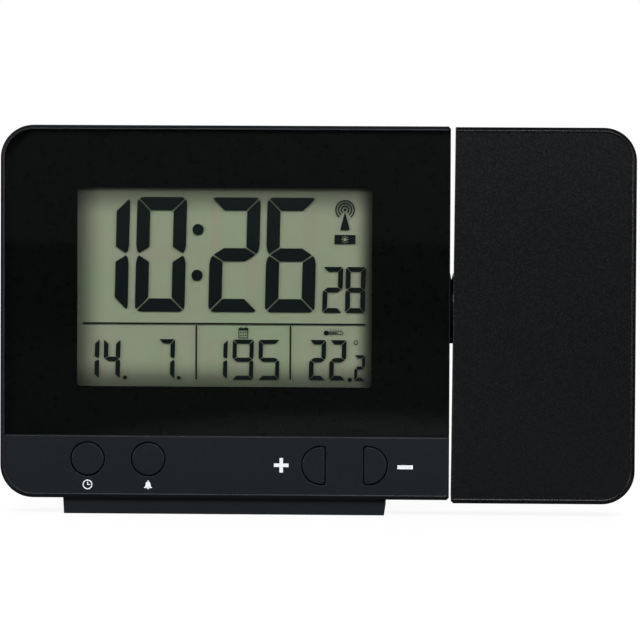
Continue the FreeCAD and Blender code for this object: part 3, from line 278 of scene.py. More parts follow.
def segment_outlines(width, height, thick, corner, gap):
    """The seven outlines of a digit that stands at the origin, mitred where they meet."""
    half = height / 2
    tip = 0.24 * thick
    shoulder = half + 0.6 * thick
    top = arc(corner, height - corner, corner, 135, 90, 3) + arc(width - corner, height - corner, corner, 90, 45, 3)
    top += [(width - thick, height - thick), (thick, height - thick)]
    upper = arc(width - corner, height - corner, corner, 45, 0, 3)
    upper += [(width, shoulder), (width - tip * 0.35, half + 0.22 * thick), (width - tip, half)]
    upper += [(width - thick, half + thick / 2), (width - thick, height - thick)]
    middle = [(tip, half), (thick, half + thick / 2), (width - thick, half + thick / 2), (width - tip, half),
              (width - thick, half - thick / 2), (thick, half - thick / 2)]

    def flipped(points):
        return [(x, height - z) for x, z in points]

    def mirrored(points):
        return [(width - x, z) for x, z in points]

    shapes = {"a": top, "b": upper, "c": flipped(upper), "d": flipped(top), "e": flipped(mirrored(upper)),
              "f": mirrored(upper), "g": middle}
    return {name: shrunk(points, gap / 2) for name, points in shapes.items()}


def digit_shapes(size, left, base, segments):
    """The named segments of a digit at its place in the window, with the display's slight lean."""
    shapes = segment_outlines(**size)
    placed = []
    for name in segments:
        placed.append([(window_left / MM + left + x + DIGIT_LEAN * z, window_bottom / MM + base + z)
                       for x, z in shapes[name]])
    return placed


def in_window(points):
    return [(window_left / MM + x, window_bottom / MM + z) for x, z in points]


# Material helpers


def new_material(name):
    material = bpy.data.materials.new(name)
    material.use_nodes = True
    material.node_tree.nodes.clear()
    return material


def add_node(tree, kind, **values):
    """A node whose keyword values set its properties, or else its inputs by name."""
    node = tree.nodes.new(kind)
    for key, value in values.items():
        title = key.replace("_", " ").title()
        if hasattr(node, key):
            setattr(node, key, value)
        else:
            node.inputs[title].default_value = value
    return node


def object_coordinates(tree, stretch=(1, 1, 1)):
    coordinates = add_node(tree, "ShaderNodeTexCoord")
    mapping = add_node(tree, "ShaderNodeMapping")
    mapping.inputs["Scale"].default_value = stretch
    tree.links.new(coordinates.outputs["Object"], mapping.inputs["Vector"])
    return mapping.outputs["Vector"]


def noise(tree, vector, size_mm, detail=2.0, roughness=0.5):
    node = add_node(tree, "ShaderNodeTexNoise")
    node.inputs["Scale"].default_value = 1 / (size_mm * MM)
    node.inputs["Detail"].default_value = detail
    node.inputs["Roughness"].default_value = roughness
    tree.links.new(vector, node.inputs["Vector"])
    return node.outputs["Fac"]


def spread(tree, value, low_value, high_value, from_low=0.25, from_high=0.75):
    node = add_node(tree, "ShaderNodeMapRange")
    node.inputs["From Min"].default_value = from_low
    node.inputs["From Max"].default_value = from_high
    node.inputs["To Min"].default_value = low_value
    node.inputs["To Max"].default_value = high_value
    tree.links.new(value, node.inputs["Value"])
    return node.outputs["Result"]


def blend_colours(tree, factor, first, second):
    node = tree.nodes.new("ShaderNodeMix")
    node.data_type = "RGBA"
    node.inputs["A"].default_value = (*first, 1)
    node.inputs["B"].default_value = (*second, 1)
    sockets = [socket for socket in node.inputs if socket.name == "Factor" and socket.type == "VALUE"]
    tree.links.new(factor, sockets[0])
    return [socket for socket in node.outputs if socket.type == "RGBA"][0]


def bump(tree, height, depth_mm, edge_mm=0.0):
    """Relief on the surface, over sharp edges that are broken by the edge radius, as a mould leaves them."""
    node = add_node(tree, "ShaderNodeBump")
    node.inputs["Distance"].default_value = depth_mm * MM
    node.inputs["Strength"].default_value = 1.0
    tree.links.new(height, node.inputs["Height"])
    if edge_mm:
        broken = add_node(tree, "ShaderNodeBevel", samples=8)
        broken.inputs["Radius"].default_value = edge_mm * MM
        tree.links.new(broken.outputs["Normal"], node.inputs["Normal"])
    return node.outputs["Normal"]


def principled(material, roughness, specular=0.5, metallic=0.0, ior=1.5):
    tree = material.node_tree
    shader = tree.nodes.new("ShaderNodeBsdfPrincipled")
    shader.inputs["Roughness"].default_value = roughness
    shader.inputs["Specular IOR Level"].default_value = specular
    shader.inputs["Metallic"].default_value = metallic
    shader.inputs["IOR"].default_value = ior
    output = tree.nodes.new("ShaderNodeOutputMaterial")
    tree.links.new(shader.outputs["BSDF"], output.inputs["Surface"])
    return shader


def tinted(colour, share):
    return tuple(min(channel * share, 1.0) for channel in colour)


def moulded(name, colour, roughness, grain_size=0.45, grain_depth=0.02, specular=0.5, mottle=0.12, edge=0.0):
    """Moulded plastic: fine spark-eroded grain, slow changes of tone, roughness that varies with the grain."""
    material = new_material(name)
    tree = material.node_tree
    shader = principled(material, roughness, specular)
    vector = object_coordinates(tree)
    slow = noise(tree, vector, 9.0, 3.0)
    fine = noise(tree, vector, grain_size, 3.0, 0.6)
    tree.links.new(blend_colours(tree, slow, tinted(colour, 1 - mottle), tinted(colour, 1 + mottle)),
                   shader.inputs["Base Color"])
    tree.links.new(spread(tree, fine, roughness - 0.05, roughness + 0.05), shader.inputs["Roughness"])
    tree.links.new(bump(tree, fine, grain_depth, edge_mm=edge), shader.inputs["Normal"])
    return material


def clear_gloss(name, tint, ior, roughness):
    """Clear plastic: lets what lies behind show, and reflects by its refractive index where light enters it."""
    material = new_material(name)
    tree = material.node_tree
    vector = object_coordinates(tree)
    haze = noise(tree, vector, 14.0, 4.0)
    through = tree.nodes.new("ShaderNodeBsdfTransparent")
    through.inputs["Color"].default_value = (*tint, 1)
    gloss = tree.nodes.new("ShaderNodeBsdfAnisotropic")
    gloss.inputs["Color"].default_value = (1, 1, 1, 1)
    tree.links.new(spread(tree, haze, roughness * 0.6, roughness * 1.6), gloss.inputs["Roughness"])
    fresnel = tree.nodes.new("ShaderNodeFresnel")
    fresnel.inputs["IOR"].default_value = ior
    geometry = tree.nodes.new("ShaderNodeNewGeometry")
    entering = add_node(tree, "ShaderNodeMath", operation="SUBTRACT")
    entering.inputs[0].default_value = 1.0
    tree.links.new(geometry.outputs["Backfacing"], entering.inputs[1])
    share = add_node(tree, "ShaderNodeMath", operation="MULTIPLY")
    tree.links.new(fresnel.outputs["Fac"], share.inputs[0])
    tree.links.new(entering.outputs["Value"], share.inputs[1])
    mix = tree.nodes.new("ShaderNodeMixShader")
    tree.links.new(share.outputs["Value"], mix.inputs[0])
    tree.links.new(through.outputs["BSDF"], mix.inputs[1])
    tree.links.new(gloss.outputs["BSDF"], mix.inputs[2])
    output = tree.nodes.new("ShaderNodeOutputMaterial")
    tree.links.new(mix.outputs["Shader"], output.inputs["Surface"])
    return material


def glass(name, colour, ior=1.49):
    """Solid clear moulding, such as a lens, with a trace of flow in it."""
    material = new_material(name)
    tree = material.node_tree
    shader = principled(material, 0.02, 0.5, ior=ior)
    shader.inputs["Transmission Weight"].default_value = 1.0
    vector = object_coordinates(tree)
    flow = noise(tree, vector, 3.0, 2.0)
    tree.links.new(blend_colours(tree, flow, tinted(colour, 0.96), colour), shader.inputs["Base Color"])
    tree.links.new(spread(tree, flow, 0.01, 0.04), shader.inputs["Roughness"])
    return material


def metal(name, colour, roughness, stretch=(1, 1, 1), line_size=0.3):
    """Plated or bare metal with drawn lines and slight stains."""
    material = new_material(name)
    tree = material.node_tree
    shader = principled(material, roughness, 0.5, metallic=1.0)
    lines = noise(tree, object_coordinates(tree, stretch), line_size, 3.0)
    stains = noise(tree, object_coordinates(tree), 2.5, 4.0)
    tone = blend_colours(tree, stains, tinted(colour, 0.8), tinted(colour, 1.1))
    tree.links.new(tone, shader.inputs["Base Color"])
    tree.links.new(spread(tree, lines, roughness * 0.7, roughness * 1.4), shader.inputs["Roughness"])
    tree.links.new(bump(tree, lines, 0.006), shader.inputs["Normal"])
    return material


def banded(name, first, second, axis, pitch, roughness, metallic=0.0, depth=0.03):
    """Even stripes across one axis: wound wire, or the conducting layers of a contact strip."""
    material = new_material(name)
    tree = material.node_tree
    shader = principled(material, roughness, 0.5, metallic=metallic)
    wave = add_node(tree, "ShaderNodeTexWave")
    wave.bands_direction = axis
    wave.inputs["Scale"].default_value = math.pi / (10 * pitch * MM)
    wave.inputs["Distortion"].default_value = 0.15
    tree.links.new(object_coordinates(tree), wave.inputs["Vector"])
    tree.links.new(blend_colours(tree, wave.outputs["Fac"], first, second), shader.inputs["Base Color"])
    tree.links.new(bump(tree, wave.outputs["Fac"], depth), shader.inputs["Normal"])
    return material


def circuit_board(name):
    """Green solder resist over copper tracks, which show as paler lines between dark gaps."""
    material = new_material(name)
    tree = material.node_tree
    shader = principled(material, 0.35, 0.5)
    vector = object_coordinates(tree)
    bricks = add_node(tree, "ShaderNodeTexBrick")
    bricks.inputs["Scale"].default_value = 1 / (9.0 * MM)
    bricks.inputs["Mortar Size"].default_value = 0.035
    bricks.inputs["Color1"].default_value = (0.012, 0.10, 0.035, 1)
    bricks.inputs["Color2"].default_value = (0.02, 0.13, 0.05, 1)
    bricks.inputs["Mortar"].default_value = (0.006, 0.05, 0.02, 1)
    turned = add_node(tree, "ShaderNodeMapping")
    turned.inputs["Rotation"].default_value = (math.pi / 2, 0, 0)
    tree.links.new(vector, turned.inputs["Vector"])
    tree.links.new(turned.outputs["Vector"], bricks.inputs["Vector"])
    tree.links.new(bricks.outputs["Color"], shader.inputs["Base Color"])
    tree.links.new(bump(tree, bricks.outputs["Fac"], 0.03), shader.inputs["Normal"])
    return material


def display_glass(name, first, second):
    """Grey-green reflector of the display: fine grain, slow clouds, and painted shade that darkens its colour along
    the edges, where the border's shadow falls.
    """
    material = new_material(name)
    tree = material.node_tree
    shader = principled(material, 0.55, 0.2)
    vector = object_coordinates(tree)
    slow = noise(tree, vector, 11.0, 2.0)
    fine = noise(tree, vector, 0.35, 2.0)
    cloud = blend_colours(tree, spread(tree, slow, 0.0, 1.0, 0.35, 0.65), first, second)
    parts = tree.nodes.new("ShaderNodeSeparateXYZ")
    tree.links.new(vector, parts.inputs["Vector"])
    shades = []
    # painted shade: the base colour is darkened towards each edge of the window, where the border's shadow falls
    for axis, edge, direction, reach, dimmest in PAINTED_EDGE_SHADES:
        shade = spread(tree, parts.outputs[axis], dimmest, 1.0, edge, edge + direction * reach * MM)
        shade.node.interpolation_type = "SMOOTHSTEP"
        shades.append(shade)
    for shade in shades:
        dimmed = tree.nodes.new("ShaderNodeVectorMath")
        dimmed.operation = "SCALE"
        tree.links.new(cloud, dimmed.inputs[0])
        tree.links.new(shade, dimmed.inputs["Scale"])
        cloud = dimmed.outputs["Vector"]
    tree.links.new(cloud, shader.inputs["Base Color"])
    tree.links.new(bump(tree, fine, 0.004), shader.inputs["Normal"])
    return material


def cell_sleeve(name):
    """Plain dark sleeve of a cell, with slow changes of tone and gloss."""
    material = new_material(name)
    tree = material.node_tree
    shader = principled(material, 0.3, 0.5)
    vector = object_coordinates(tree)
    grain = noise(tree, vector, 6.0, 2.0)
    tone = blend_colours(tree, grain, (0.03, 0.032, 0.04), (0.05, 0.052, 0.06))
    tree.links.new(tone, shader.inputs["Base Color"])
    tree.links.new(spread(tree, grain, 0.22, 0.38), shader.inputs["Roughness"])
    return material


# One material for each slot of the record

housing = moulded("housing_black", (0.0042, 0.0062, 0.0082), 0.36, 0.5, 0.01, 0.35, edge=0.13)
arm_plastic = moulded("arm_black", (0.0018, 0.0022, 0.0034), 0.26, 0.5, 0.005, 0.5, edge=0.13)
SLOT_MATERIALS = {
    "housing_black": housing,
    "arm_black": arm_plastic,
    "button_black": moulded("button_black", (0.0044, 0.0064, 0.0084), 0.36, 0.5, 0.008, 0.35, edge=0.13),
    "lens_clear": clear_gloss("lens_clear", (0.98, 0.985, 0.98), 1.46, 0.02),
    "mask_black": moulded("mask_black", (0.0008, 0.0011, 0.0012), 0.3, 1.5, 0.001, 0.1),
    # the display's colour carries painted shade along the edges of the window
    "lcd_glass": display_glass("lcd_glass", (0.202, 0.250, 0.160), (0.219, 0.237, 0.171)),
    "frame_white": moulded("frame_white", (0.68, 0.68, 0.66), 0.45, 0.6, 0.01, mottle=0.04),
    "guide_clear": moulded("guide_clear", (0.6, 0.66, 0.56), 0.25, 2.0, 0.004, mottle=0.05),
    "foam": moulded("foam", (0.6, 0.6, 0.57), 0.9, 0.35, 0.15, 0.1),
    "contact_rubber": banded("contact_rubber", (0.02, 0.02, 0.02), (0.5, 0.3, 0.28), "Y", 0.5, 0.6),
    "plunger_black": moulded("plunger_black", (0.02, 0.02, 0.022), 0.4, 0.6, 0.01),
    "board_green": circuit_board("board_green"),
    "parts_black": moulded("parts_black", (0.018, 0.018, 0.02), 0.5, 0.4, 0.02),
    "switch_black": moulded("switch_black", (0.03, 0.03, 0.033), 0.45, 0.5, 0.012),
    "knob_black": moulded("knob_black", (0.013, 0.013, 0.015), 0.48, 0.4, 0.02),
    "jack_black": moulded("jack_black", (0.008, 0.008, 0.009), 0.25, 0.8, 0.006),
    "ferrite": moulded("ferrite", (0.05, 0.05, 0.055), 0.6, 0.25, 0.03, mottle=0.25),
    "coil_wire": banded("coil_wire", (0.22, 0.07, 0.02), (0.75, 0.34, 0.14), "X", 0.2, 0.3, 1.0),
    "brass_disc": metal("brass_disc", (0.72, 0.5, 0.2), 0.32),
    "sensor_bead": moulded("sensor_bead", (0.015, 0.015, 0.017), 0.25, 0.8, 0.02),
    "contact_metal": metal("contact_metal", (0.62, 0.61, 0.58), 0.28, (1, 1, 8)),
    "cell_jacket": cell_sleeve("cell_jacket"),
    "hub_black": moulded("hub_black", (0.0022, 0.0024, 0.0028), 0.34, 0.6, 0.006, 0.25),
    "washer_white": moulded("washer_white", (0.74, 0.74, 0.71), 0.4, 0.5, 0.01, mottle=0.04),
    "cable_grey": banded("cable_grey", (0.12, 0.12, 0.125), (0.3, 0.3, 0.31), "Z", 0.6, 0.5),
    "led_yellow": moulded("led_yellow", (0.8, 0.72, 0.32), 0.35, 0.4, 0.02, mottle=0.08),
    "plug_white": moulded("plug_white", (0.72, 0.71, 0.67), 0.45, 0.6, 0.01, mottle=0.04),
    "clear_lens": glass("clear_lens", (0.93, 0.96, 0.97)),
    "slide_glass": clear_gloss("slide_glass", (0.25, 0.27, 0.25), 1.5, 0.03),
    "tube_black": moulded("tube_black", (0.0075, 0.0075, 0.0085), 0.55, 0.35, 0.02),
    "ring_black": moulded("ring_black", (0.0105, 0.0105, 0.012), 0.42, 0.5, 0.015),
    "clip_black": moulded("clip_black", (0.0085, 0.0085, 0.0095), 0.42, 0.5, 0.012),
}


def dress_nodes():
    """Gives each CAD node the material of its slot."""
    for entry in frame["record"]["subparts"]:
        node = frame["nodes"][entry["node"]]
        material = SLOT_MATERIALS[entry["material_slot"]]
        if not node.material_slots:
            node.data.materials.append(material)
        for slot in node.material_slots:
            slot.material = material


# Display


def make_display():
    segment_ink = moulded("segment_ink", (0.0035, 0.0062, 0.0064), 0.35, 1.0, 0.001, 0.1)
    # idle segments take the display's colour, with its painted shade along the window's edges
    idle_ink = display_glass("idle_ink", (0.214, 0.232, 0.158), (0.224, 0.228, 0.166))
    lit = []
    idle = []
    for figure, size, left, base in DISPLAY_READING:
        names = LIT[figure]
        lit += digit_shapes(size, left, base, names)
        if left > 0:
            idle += digit_shapes(size, left, base, [name for name in "abcdefg" if name not in names])
    half = RULE_THICK / 2
    lit.append(in_window(rectangle(RULE_LEFT, RULE_HEIGHT - half, RULE_RIGHT, RULE_HEIGHT + half)))
    for x in DIVIDERS:
        lit.append(in_window(rectangle(x - half, DIVIDER_FOOT, x + half, RULE_HEIGHT - RULE_THICK)))
    for x, z, radius in DISPLAY_DOTS:
        lit.append(in_window(arc(x, z, radius, 0, 345, 23)))
    front = panel_front - SEGMENT_LIFT * MM
    sheet("display_segments", lit, [], front, SEGMENT_THICK * MM, segment_ink, "casing")
    sheet("display_idle_segments", idle, [], panel_front - 0.01 * MM, 0.01 * MM, idle_ink, "casing")
    make_display_symbols(front, segment_ink)


def make_display_symbols(front, ink):
    """Mast with waves, summer-time box with a sun, calendar sheet, thermometer and degree ring."""
    outlines = []
    rings = []
    x, z = MAST_CENTRE
    half_gap = MAST_GAP_ANGLE / 2
    for radius in MAST_RINGS:
        rings.append(ring_outlines(x, z, radius, MAST_LINE, -90 + half_gap, 270 - half_gap, 36))
    outlines.append(arc(x, z, 0.36, 0, 337.5, 15))
    outlines.append([(x - 0.12, z - 0.85), (x + 0.12, z - 0.85), (x + MAST_HALF_WIDTH, MAST_BASE),
                     (x - MAST_HALF_WIDTH, MAST_BASE)])
    ring_x, ring_z, radius, line = DEGREE_RING
    rings.append(ring_outlines(ring_x, ring_z, radius, line, steps=20))
    outlines += calendar_shapes(*CALENDAR_CENTRE)
    shapes, more_rings = thermometer_shapes(*THERMOMETER_CENTRE)
    outlines += shapes
    rings += more_rings
    placed_rings = [(in_window(outer), in_window(inner), closed) for outer, inner, closed in rings]
    sheet("display_symbols", [in_window(points) for points in outlines], placed_rings, front,
          SEGMENT_THICK * MM, ink, "casing")
    make_summer_box(front, ink)


def calendar_shapes(x, z):
    """A calendar sheet: border, thick head, two hangers and dots for days."""
    half = 1.25
    line = 0.2
    shapes = [rectangle(x - half, z - half, x - half + line, z + half - 0.6),
              rectangle(x + half - line, z - half, x + half, z + half - 0.6),
              rectangle(x - half, z - half - line, x + half, z - half),
              rectangle(x - half, z + half - 0.6, x + half, z + half - 0.05),
              rectangle(x - 0.75, z + half, x - 0.5, z + half + 0.3),
              rectangle(x + 0.5, z + half, x + 0.75, z + half + 0.3)]
    for column in (-1, 0, 1):
        for row in (0, 1):
            left = x + column * 0.65 - 0.16
            foot = z - 0.85 + row * 0.75
            shapes.append(rectangle(left, foot, left + 0.32, foot + 0.32))
    return shapes


def thermometer_shapes(x, z):
    """A thermometer that lies on its side: bulb, tube outline, column and scale marks."""
    shapes = [arc(x - 2.0, z, 0.62, 0, 345, 23),
              rectangle(x - 1.5, z - 0.14, x + 0.7, z + 0.14)]
    tube = arc(x + 2.0, z, 0.42, -90, 90, 10)
    inner = arc(x + 2.0, z, 0.26, -90, 90, 10)
    outer_line = [(x - 1.45, z - 0.42)] + tube + [(x - 1.45, z + 0.42)]
    inner_line = [(x - 1.45, z - 0.26)] + inner + [(x - 1.45, z + 0.26)]
    for mark in range(5):
        left = x - 0.9 + mark * 0.65
        shapes.append(rectangle(left, z + 0.62, left + 0.16, z + 1.05))
    return shapes, [(outer_line, inner_line, False)]


def make_summer_box(front, ink):
    """Dark box with a light sun that stands just proud of it."""
    left, foot, right, top = SUMMER_BOX
    sheet("display_summer_box", [in_window(rectangle(left, foot, right, top))], [], front, SEGMENT_THICK * MM,
          ink, "casing")
    # the sun takes the display's colour, with its painted shade along the window's edges
    light = display_glass("idle_light", (0.19, 0.23, 0.15), (0.20, 0.22, 0.16))
    x = (left + right) / 2
    z = (foot + top) / 2
    shapes = [arc(x, z, 0.42, 0, 330, 11)]
    for turn in range(8):
        angle = math.radians(45 * turn)
        along = Vector((math.cos(angle), math.sin(angle)))
        across = Vector((-along.y, along.x)) * 0.09
        start = Vector((x, z)) + along * 0.6
        end = Vector((x, z)) + along * 0.95
        shapes.append([tuple(start - across), tuple(end - across), tuple(end + across), tuple(start + across)])
    sheet("display_sun", [in_window(points) for points in shapes], [], front - SEGMENT_THICK * MM,
          SEGMENT_THICK * MM, light, "casing")


# Signs printed on the strip


def make_strip_signs():
    ink = moulded("sign_ink", (0.74, 0.76, 0.78), 0.45, 0.6, 0.004, 0.4, 0.04)
    x = low("plus_button").x / MM - PLUS_GAP
    z = centre("plus_button").z / MM
    half = PLUS_SIDE / 2
    bar = PLUS_THICK / 2
    plus = [(x - half, z - bar), (x - bar, z - bar), (x - bar, z - half), (x + bar, z - half), (x + bar, z - bar),
            (x + half, z - bar), (x + half, z + bar), (x + bar, z + bar), (x + bar, z + half), (x - bar, z + half),
            (x - bar, z + bar), (x - half, z + bar)]
    x = high("minus_button").x / MM + MINUS_GAP
    z = centre("minus_button").z / MM - MINUS_DROP
    minus = rectangle(x - MINUS_LENGTH / 2, z - MINUS_THICK / 2, x + MINUS_LENGTH / 2, z + MINUS_THICK / 2)
    shapes = [plus, minus]
    x = centre("time_button").x / MM
    z = low("time_button").z / MM - BUTTON_SIGN_GAP
    rings = [ring_outlines(x, z, CLOCK_SIGN_RADIUS, 0.26, steps=40)]
    shapes += [rectangle(x - 0.12, z - 0.12, x + 0.12, z + 0.72),
               rectangle(x + 0.12, z - 0.12, x + 0.62, z + 0.12)]
    shapes += bell_shapes(centre("alarm_button").x / MM, z)
    sheet("strip_signs", shapes, rings, strip_front, SIGN_LIFT * MM, ink, "casing")


def bell_shapes(x, z):
    """A small bell: dome, skirt, rim and clapper."""
    dome = arc(x, z + 0.25, 0.62, 0, 180, 14)
    bell = [(x + 0.95, z - 0.62), (x + 0.7, z - 0.35)] + dome + [(x - 0.7, z - 0.35), (x - 0.95, z - 0.62)]
    rim = rectangle(x - 1.05, z - 0.82, x + 1.05, z - 0.62)
    clapper = arc(x, z - 0.88, 0.26, 180, 360, 8)
    knob = arc(x, z + 0.98, 0.17, 0, 330, 11)
    return [bell, rim, clapper, knob]


# Soft sleeve over the two collars in the slit


def make_slit_sleeve():
    """Two closed rings that meet in the middle of the slit and part in a notch at the top."""
    felt = moulded("sleeve_felt", (0.0016, 0.0016, 0.0018), 0.95, 0.3, 0.03, 0.05)
    left = high("display_lens").x / MM + SLEEVE_LEFT
    right = left + SLEEVE_WIDTH
    middle = (left + right) / 2
    hinge = centre("hinge_hub")
    notch_foot = SLEEVE_INNER - SLEEVE_NOTCH
    bm = bmesh.new()
    for outer_end in (left, right):
        sections = []
        for index in range(SLEEVE_STEPS):
            angle = math.tau * index / SLEEVE_STEPS
            height = SLEEVE_INNER * math.cos(angle)
            opening = max(height - notch_foot, 0) / SLEEVE_NOTCH * SLEEVE_PARTING
            inner_end = middle + (outer_end - middle) * opening
            across = Vector((0, math.sin(angle), math.cos(angle)))
            corners = ((outer_end, SLEEVE_INNER), (outer_end, SLEEVE_OUTER),
                       (inner_end, SLEEVE_OUTER), (inner_end, SLEEVE_INNER))
            sections.append([bm.verts.new(Vector((x * MM, hinge.y, hinge.z)) + across * radius * MM)
                             for x, radius in corners])
        for index, section in enumerate(sections):
            after = sections[(index + 1) % SLEEVE_STEPS]
            for corner in range(4):
                following = (corner + 1) % 4
                bm.faces.new((section[corner], section[following], after[following], after[corner]))
    finished("slit_sleeve", bm, felt, "casing")


# Signs printed on the back, beside what they name


def triangle(x, z, half_width, rise):
    return [(x - half_width, z), (x + half_width, z), (x, z + rise)]


def make_back_signs():
    """Flip arrows, waves, lamp off and on marks, the jack's ring, and the focus arrows on the arm."""
    ink = moulded("back_sign_ink", (0.42, 0.43, 0.44), 0.5, 0.6, 0.004, 0.3, 0.05)
    wall = high("arm_rear_shell").y
    half = BACK_SIGN_LINE / 2
    x = centre("flip_button").x / MM
    z = high("flip_button").z / MM + PRESS_SIGN_GAP
    shapes = [triangle(x, z + 0.35, 0.9, 1.0), triangle(x, z - 0.35, 0.9, -1.0),
              rectangle(x - 1.3, z - half, x + 1.3, z + half)]
    x = centre("wave_button").x / MM
    shapes.append(arc(x, z - 0.9, 0.3, 0, 330, 11))
    rings = [ring_outlines(x, z - 0.9, radius, WAVE_LINE, 45, 135, 12) for radius in WAVE_RADII]
    x = centre("projection_knob").x / MM
    z = high("projection_knob").z / MM + KNOB_SIGN_GAP
    rings.append(ring_outlines(x + KNOB_SIGN_SPREAD, z, 0.75, BACK_SIGN_LINE, steps=28))
    x -= KNOB_SIGN_SPREAD
    shapes.append(rectangle(x - half, z - 0.85, x + half, z + 0.85))
    x = centre("supply_jack").x / MM
    z = high("supply_jack").z / MM + JACK_SIGN_GAP
    rings.append(ring_outlines(x, z, 0.95, BACK_SIGN_LINE, -50, 230, 28))
    shapes.append(arc(x, z, 0.35, 0, 330, 11))
    sheet("back_signs", shapes, rings, wall, SIGN_LIFT * MM, ink, "casing", direction=1)
    x = centre("focus_ring").x / MM
    z = low("focus_ring").z / MM - FOCUS_SIGN_GAP
    shaft = FOCUS_SIGN_REACH - 1.3
    focus = [[(x - FOCUS_SIGN_REACH, z), (x - shaft, z + 0.75), (x - shaft, z - 0.75)],
             [(x + FOCUS_SIGN_REACH, z), (x + shaft, z - 0.75), (x + shaft, z + 0.75)],
             rectangle(x - shaft, z - 0.13, x + shaft, z + 0.13)]
    sheet("focus_sign", focus, [], wall, SIGN_LIFT * MM, ink, "arm", direction=1)


# Case screws


def lathed(bm, profile, steps):
    """Turns a profile of (radius, height) about the Z axis."""
    circles = []
    for radius, height in profile:
        if radius == 0:
            circles.append([bm.verts.new((0, 0, height))])
            continue
        angles = [math.tau * index / steps for index in range(steps)]
        circles.append([bm.verts.new((radius * math.cos(angle), radius * math.sin(angle), height))
                        for angle in angles])
    for lower, upper in zip(circles, circles[1:]):
        for index in range(steps):
            after = (index + 1) % steps
            corners = [lower[index % len(lower)], lower[after % len(lower)], upper[after % len(upper)],
                       upper[index % len(upper)]]
            unique = list(dict.fromkeys(corners))
            bm.faces.new(unique)


def screw_mesh():
    """Pan head with a cross recess, standing on the plane z = 0, in metres."""
    radius = SCREW_RADIUS * MM
    rise = SCREW_HEAD * MM
    profile = [(0, 0), (radius, 0), (radius, rise * 0.35)]
    profile += [(radius * math.cos(angle), rise * (0.35 + 0.65 * math.sin(angle)))
                for angle in (0.35, 0.7, 1.05, 1.3)]
    profile.append((0, rise))
    head = bmesh.new()
    lathed(head, profile, 40)
    bmesh.ops.recalc_face_normals(head, faces=head.faces)
    mesh = bpy.data.meshes.new("screw_head")
    head.to_mesh(mesh)
    head.free()
    cutter = bmesh.new()
    for half_x, half_y in ((CROSS_REACH, CROSS_HALF_WIDTH), (CROSS_HALF_WIDTH, CROSS_REACH)):
        corners = [(half_x, half_y), (-half_x, half_y), (-half_x, -half_y), (half_x, -half_y)]
        top = [cutter.verts.new((x * MM, y * MM, rise * 1.3)) for x, y in corners]
        foot = [cutter.verts.new((x * MM * 0.55, y * MM * 0.8, rise * 0.25)) for x, y in corners]
        cutter.faces.new(top)
        cutter.faces.new(list(reversed(foot)))
        for index in range(4):
            after = (index + 1) % 4
            cutter.faces.new((top[after], top[index], foot[index], foot[after]))
    cut_mesh = bpy.data.meshes.new("screw_cut")
    cutter.to_mesh(cut_mesh)
    cutter.free()
    head_object = bpy.data.objects.new("screw_work", mesh)
    cut_object = bpy.data.objects.new("screw_cut_work", cut_mesh)
    for item in (head_object, cut_object):
        bpy.context.scene.collection.objects.link(item)
    modifier = head_object.modifiers.new("cross", "BOOLEAN")
    modifier.operation = "DIFFERENCE"
    modifier.solver = "EXACT"
    modifier.use_self = True
    modifier.object = cut_object
    bpy.context.view_layer.update()
    evaluated = head_object.evaluated_get(bpy.context.evaluated_depsgraph_get())
    result = bpy.data.meshes.new_from_object(evaluated)
    for item in (head_object, cut_object):
        bpy.data.objects.remove(item)
    return result


def make_screws():
    """Six screws, on the floors of the recesses, with their cross recesses facing the back."""
    steel = metal("screw_steel", (0.12, 0.12, 0.125), 0.35)
    shape = screw_mesh()
    back = high("arm_rear_shell").y
    floor = back - RECESS_DEPTH * MM
    inset = SCREW_INSET * MM
    places = []
    case_left = low("rear_housing").x
    case_right = high("rear_housing").x - HOUSING_LIP * MM
    case_foot = low("arm_rear_shell").z + ARM_DROP * MM
    case_top = high("rear_housing").z
    for x in (case_left + inset, case_right - inset):
        for z in (case_foot + inset, case_top - inset):
            places.append(("casing", x, z))
    arm_x = centre("projector_board").x
    for z in (low("arm_rear_shell").z + inset, high("arm_rear_shell").z - inset):
        places.append(("arm", arm_x, z))
    for index, (body, x, z) in enumerate(places):
        mesh = shape.copy()
        turn = Matrix.Rotation(math.radians(17 + 41 * index), 4, "Z")
        stand = Matrix.Rotation(-math.pi / 2, 4, "X")
        mesh.transform(Matrix.Translation((x, floor, z)) @ stand @ turn)
        mesh.materials.clear()
        mesh.materials.append(steel)
        screw = bpy.data.objects.new(f"case_screw_{index + 1}", mesh)
        bpy.context.scene.collection.objects.link(screw)
        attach(screw, body)


# Floor, world, lamps and camera


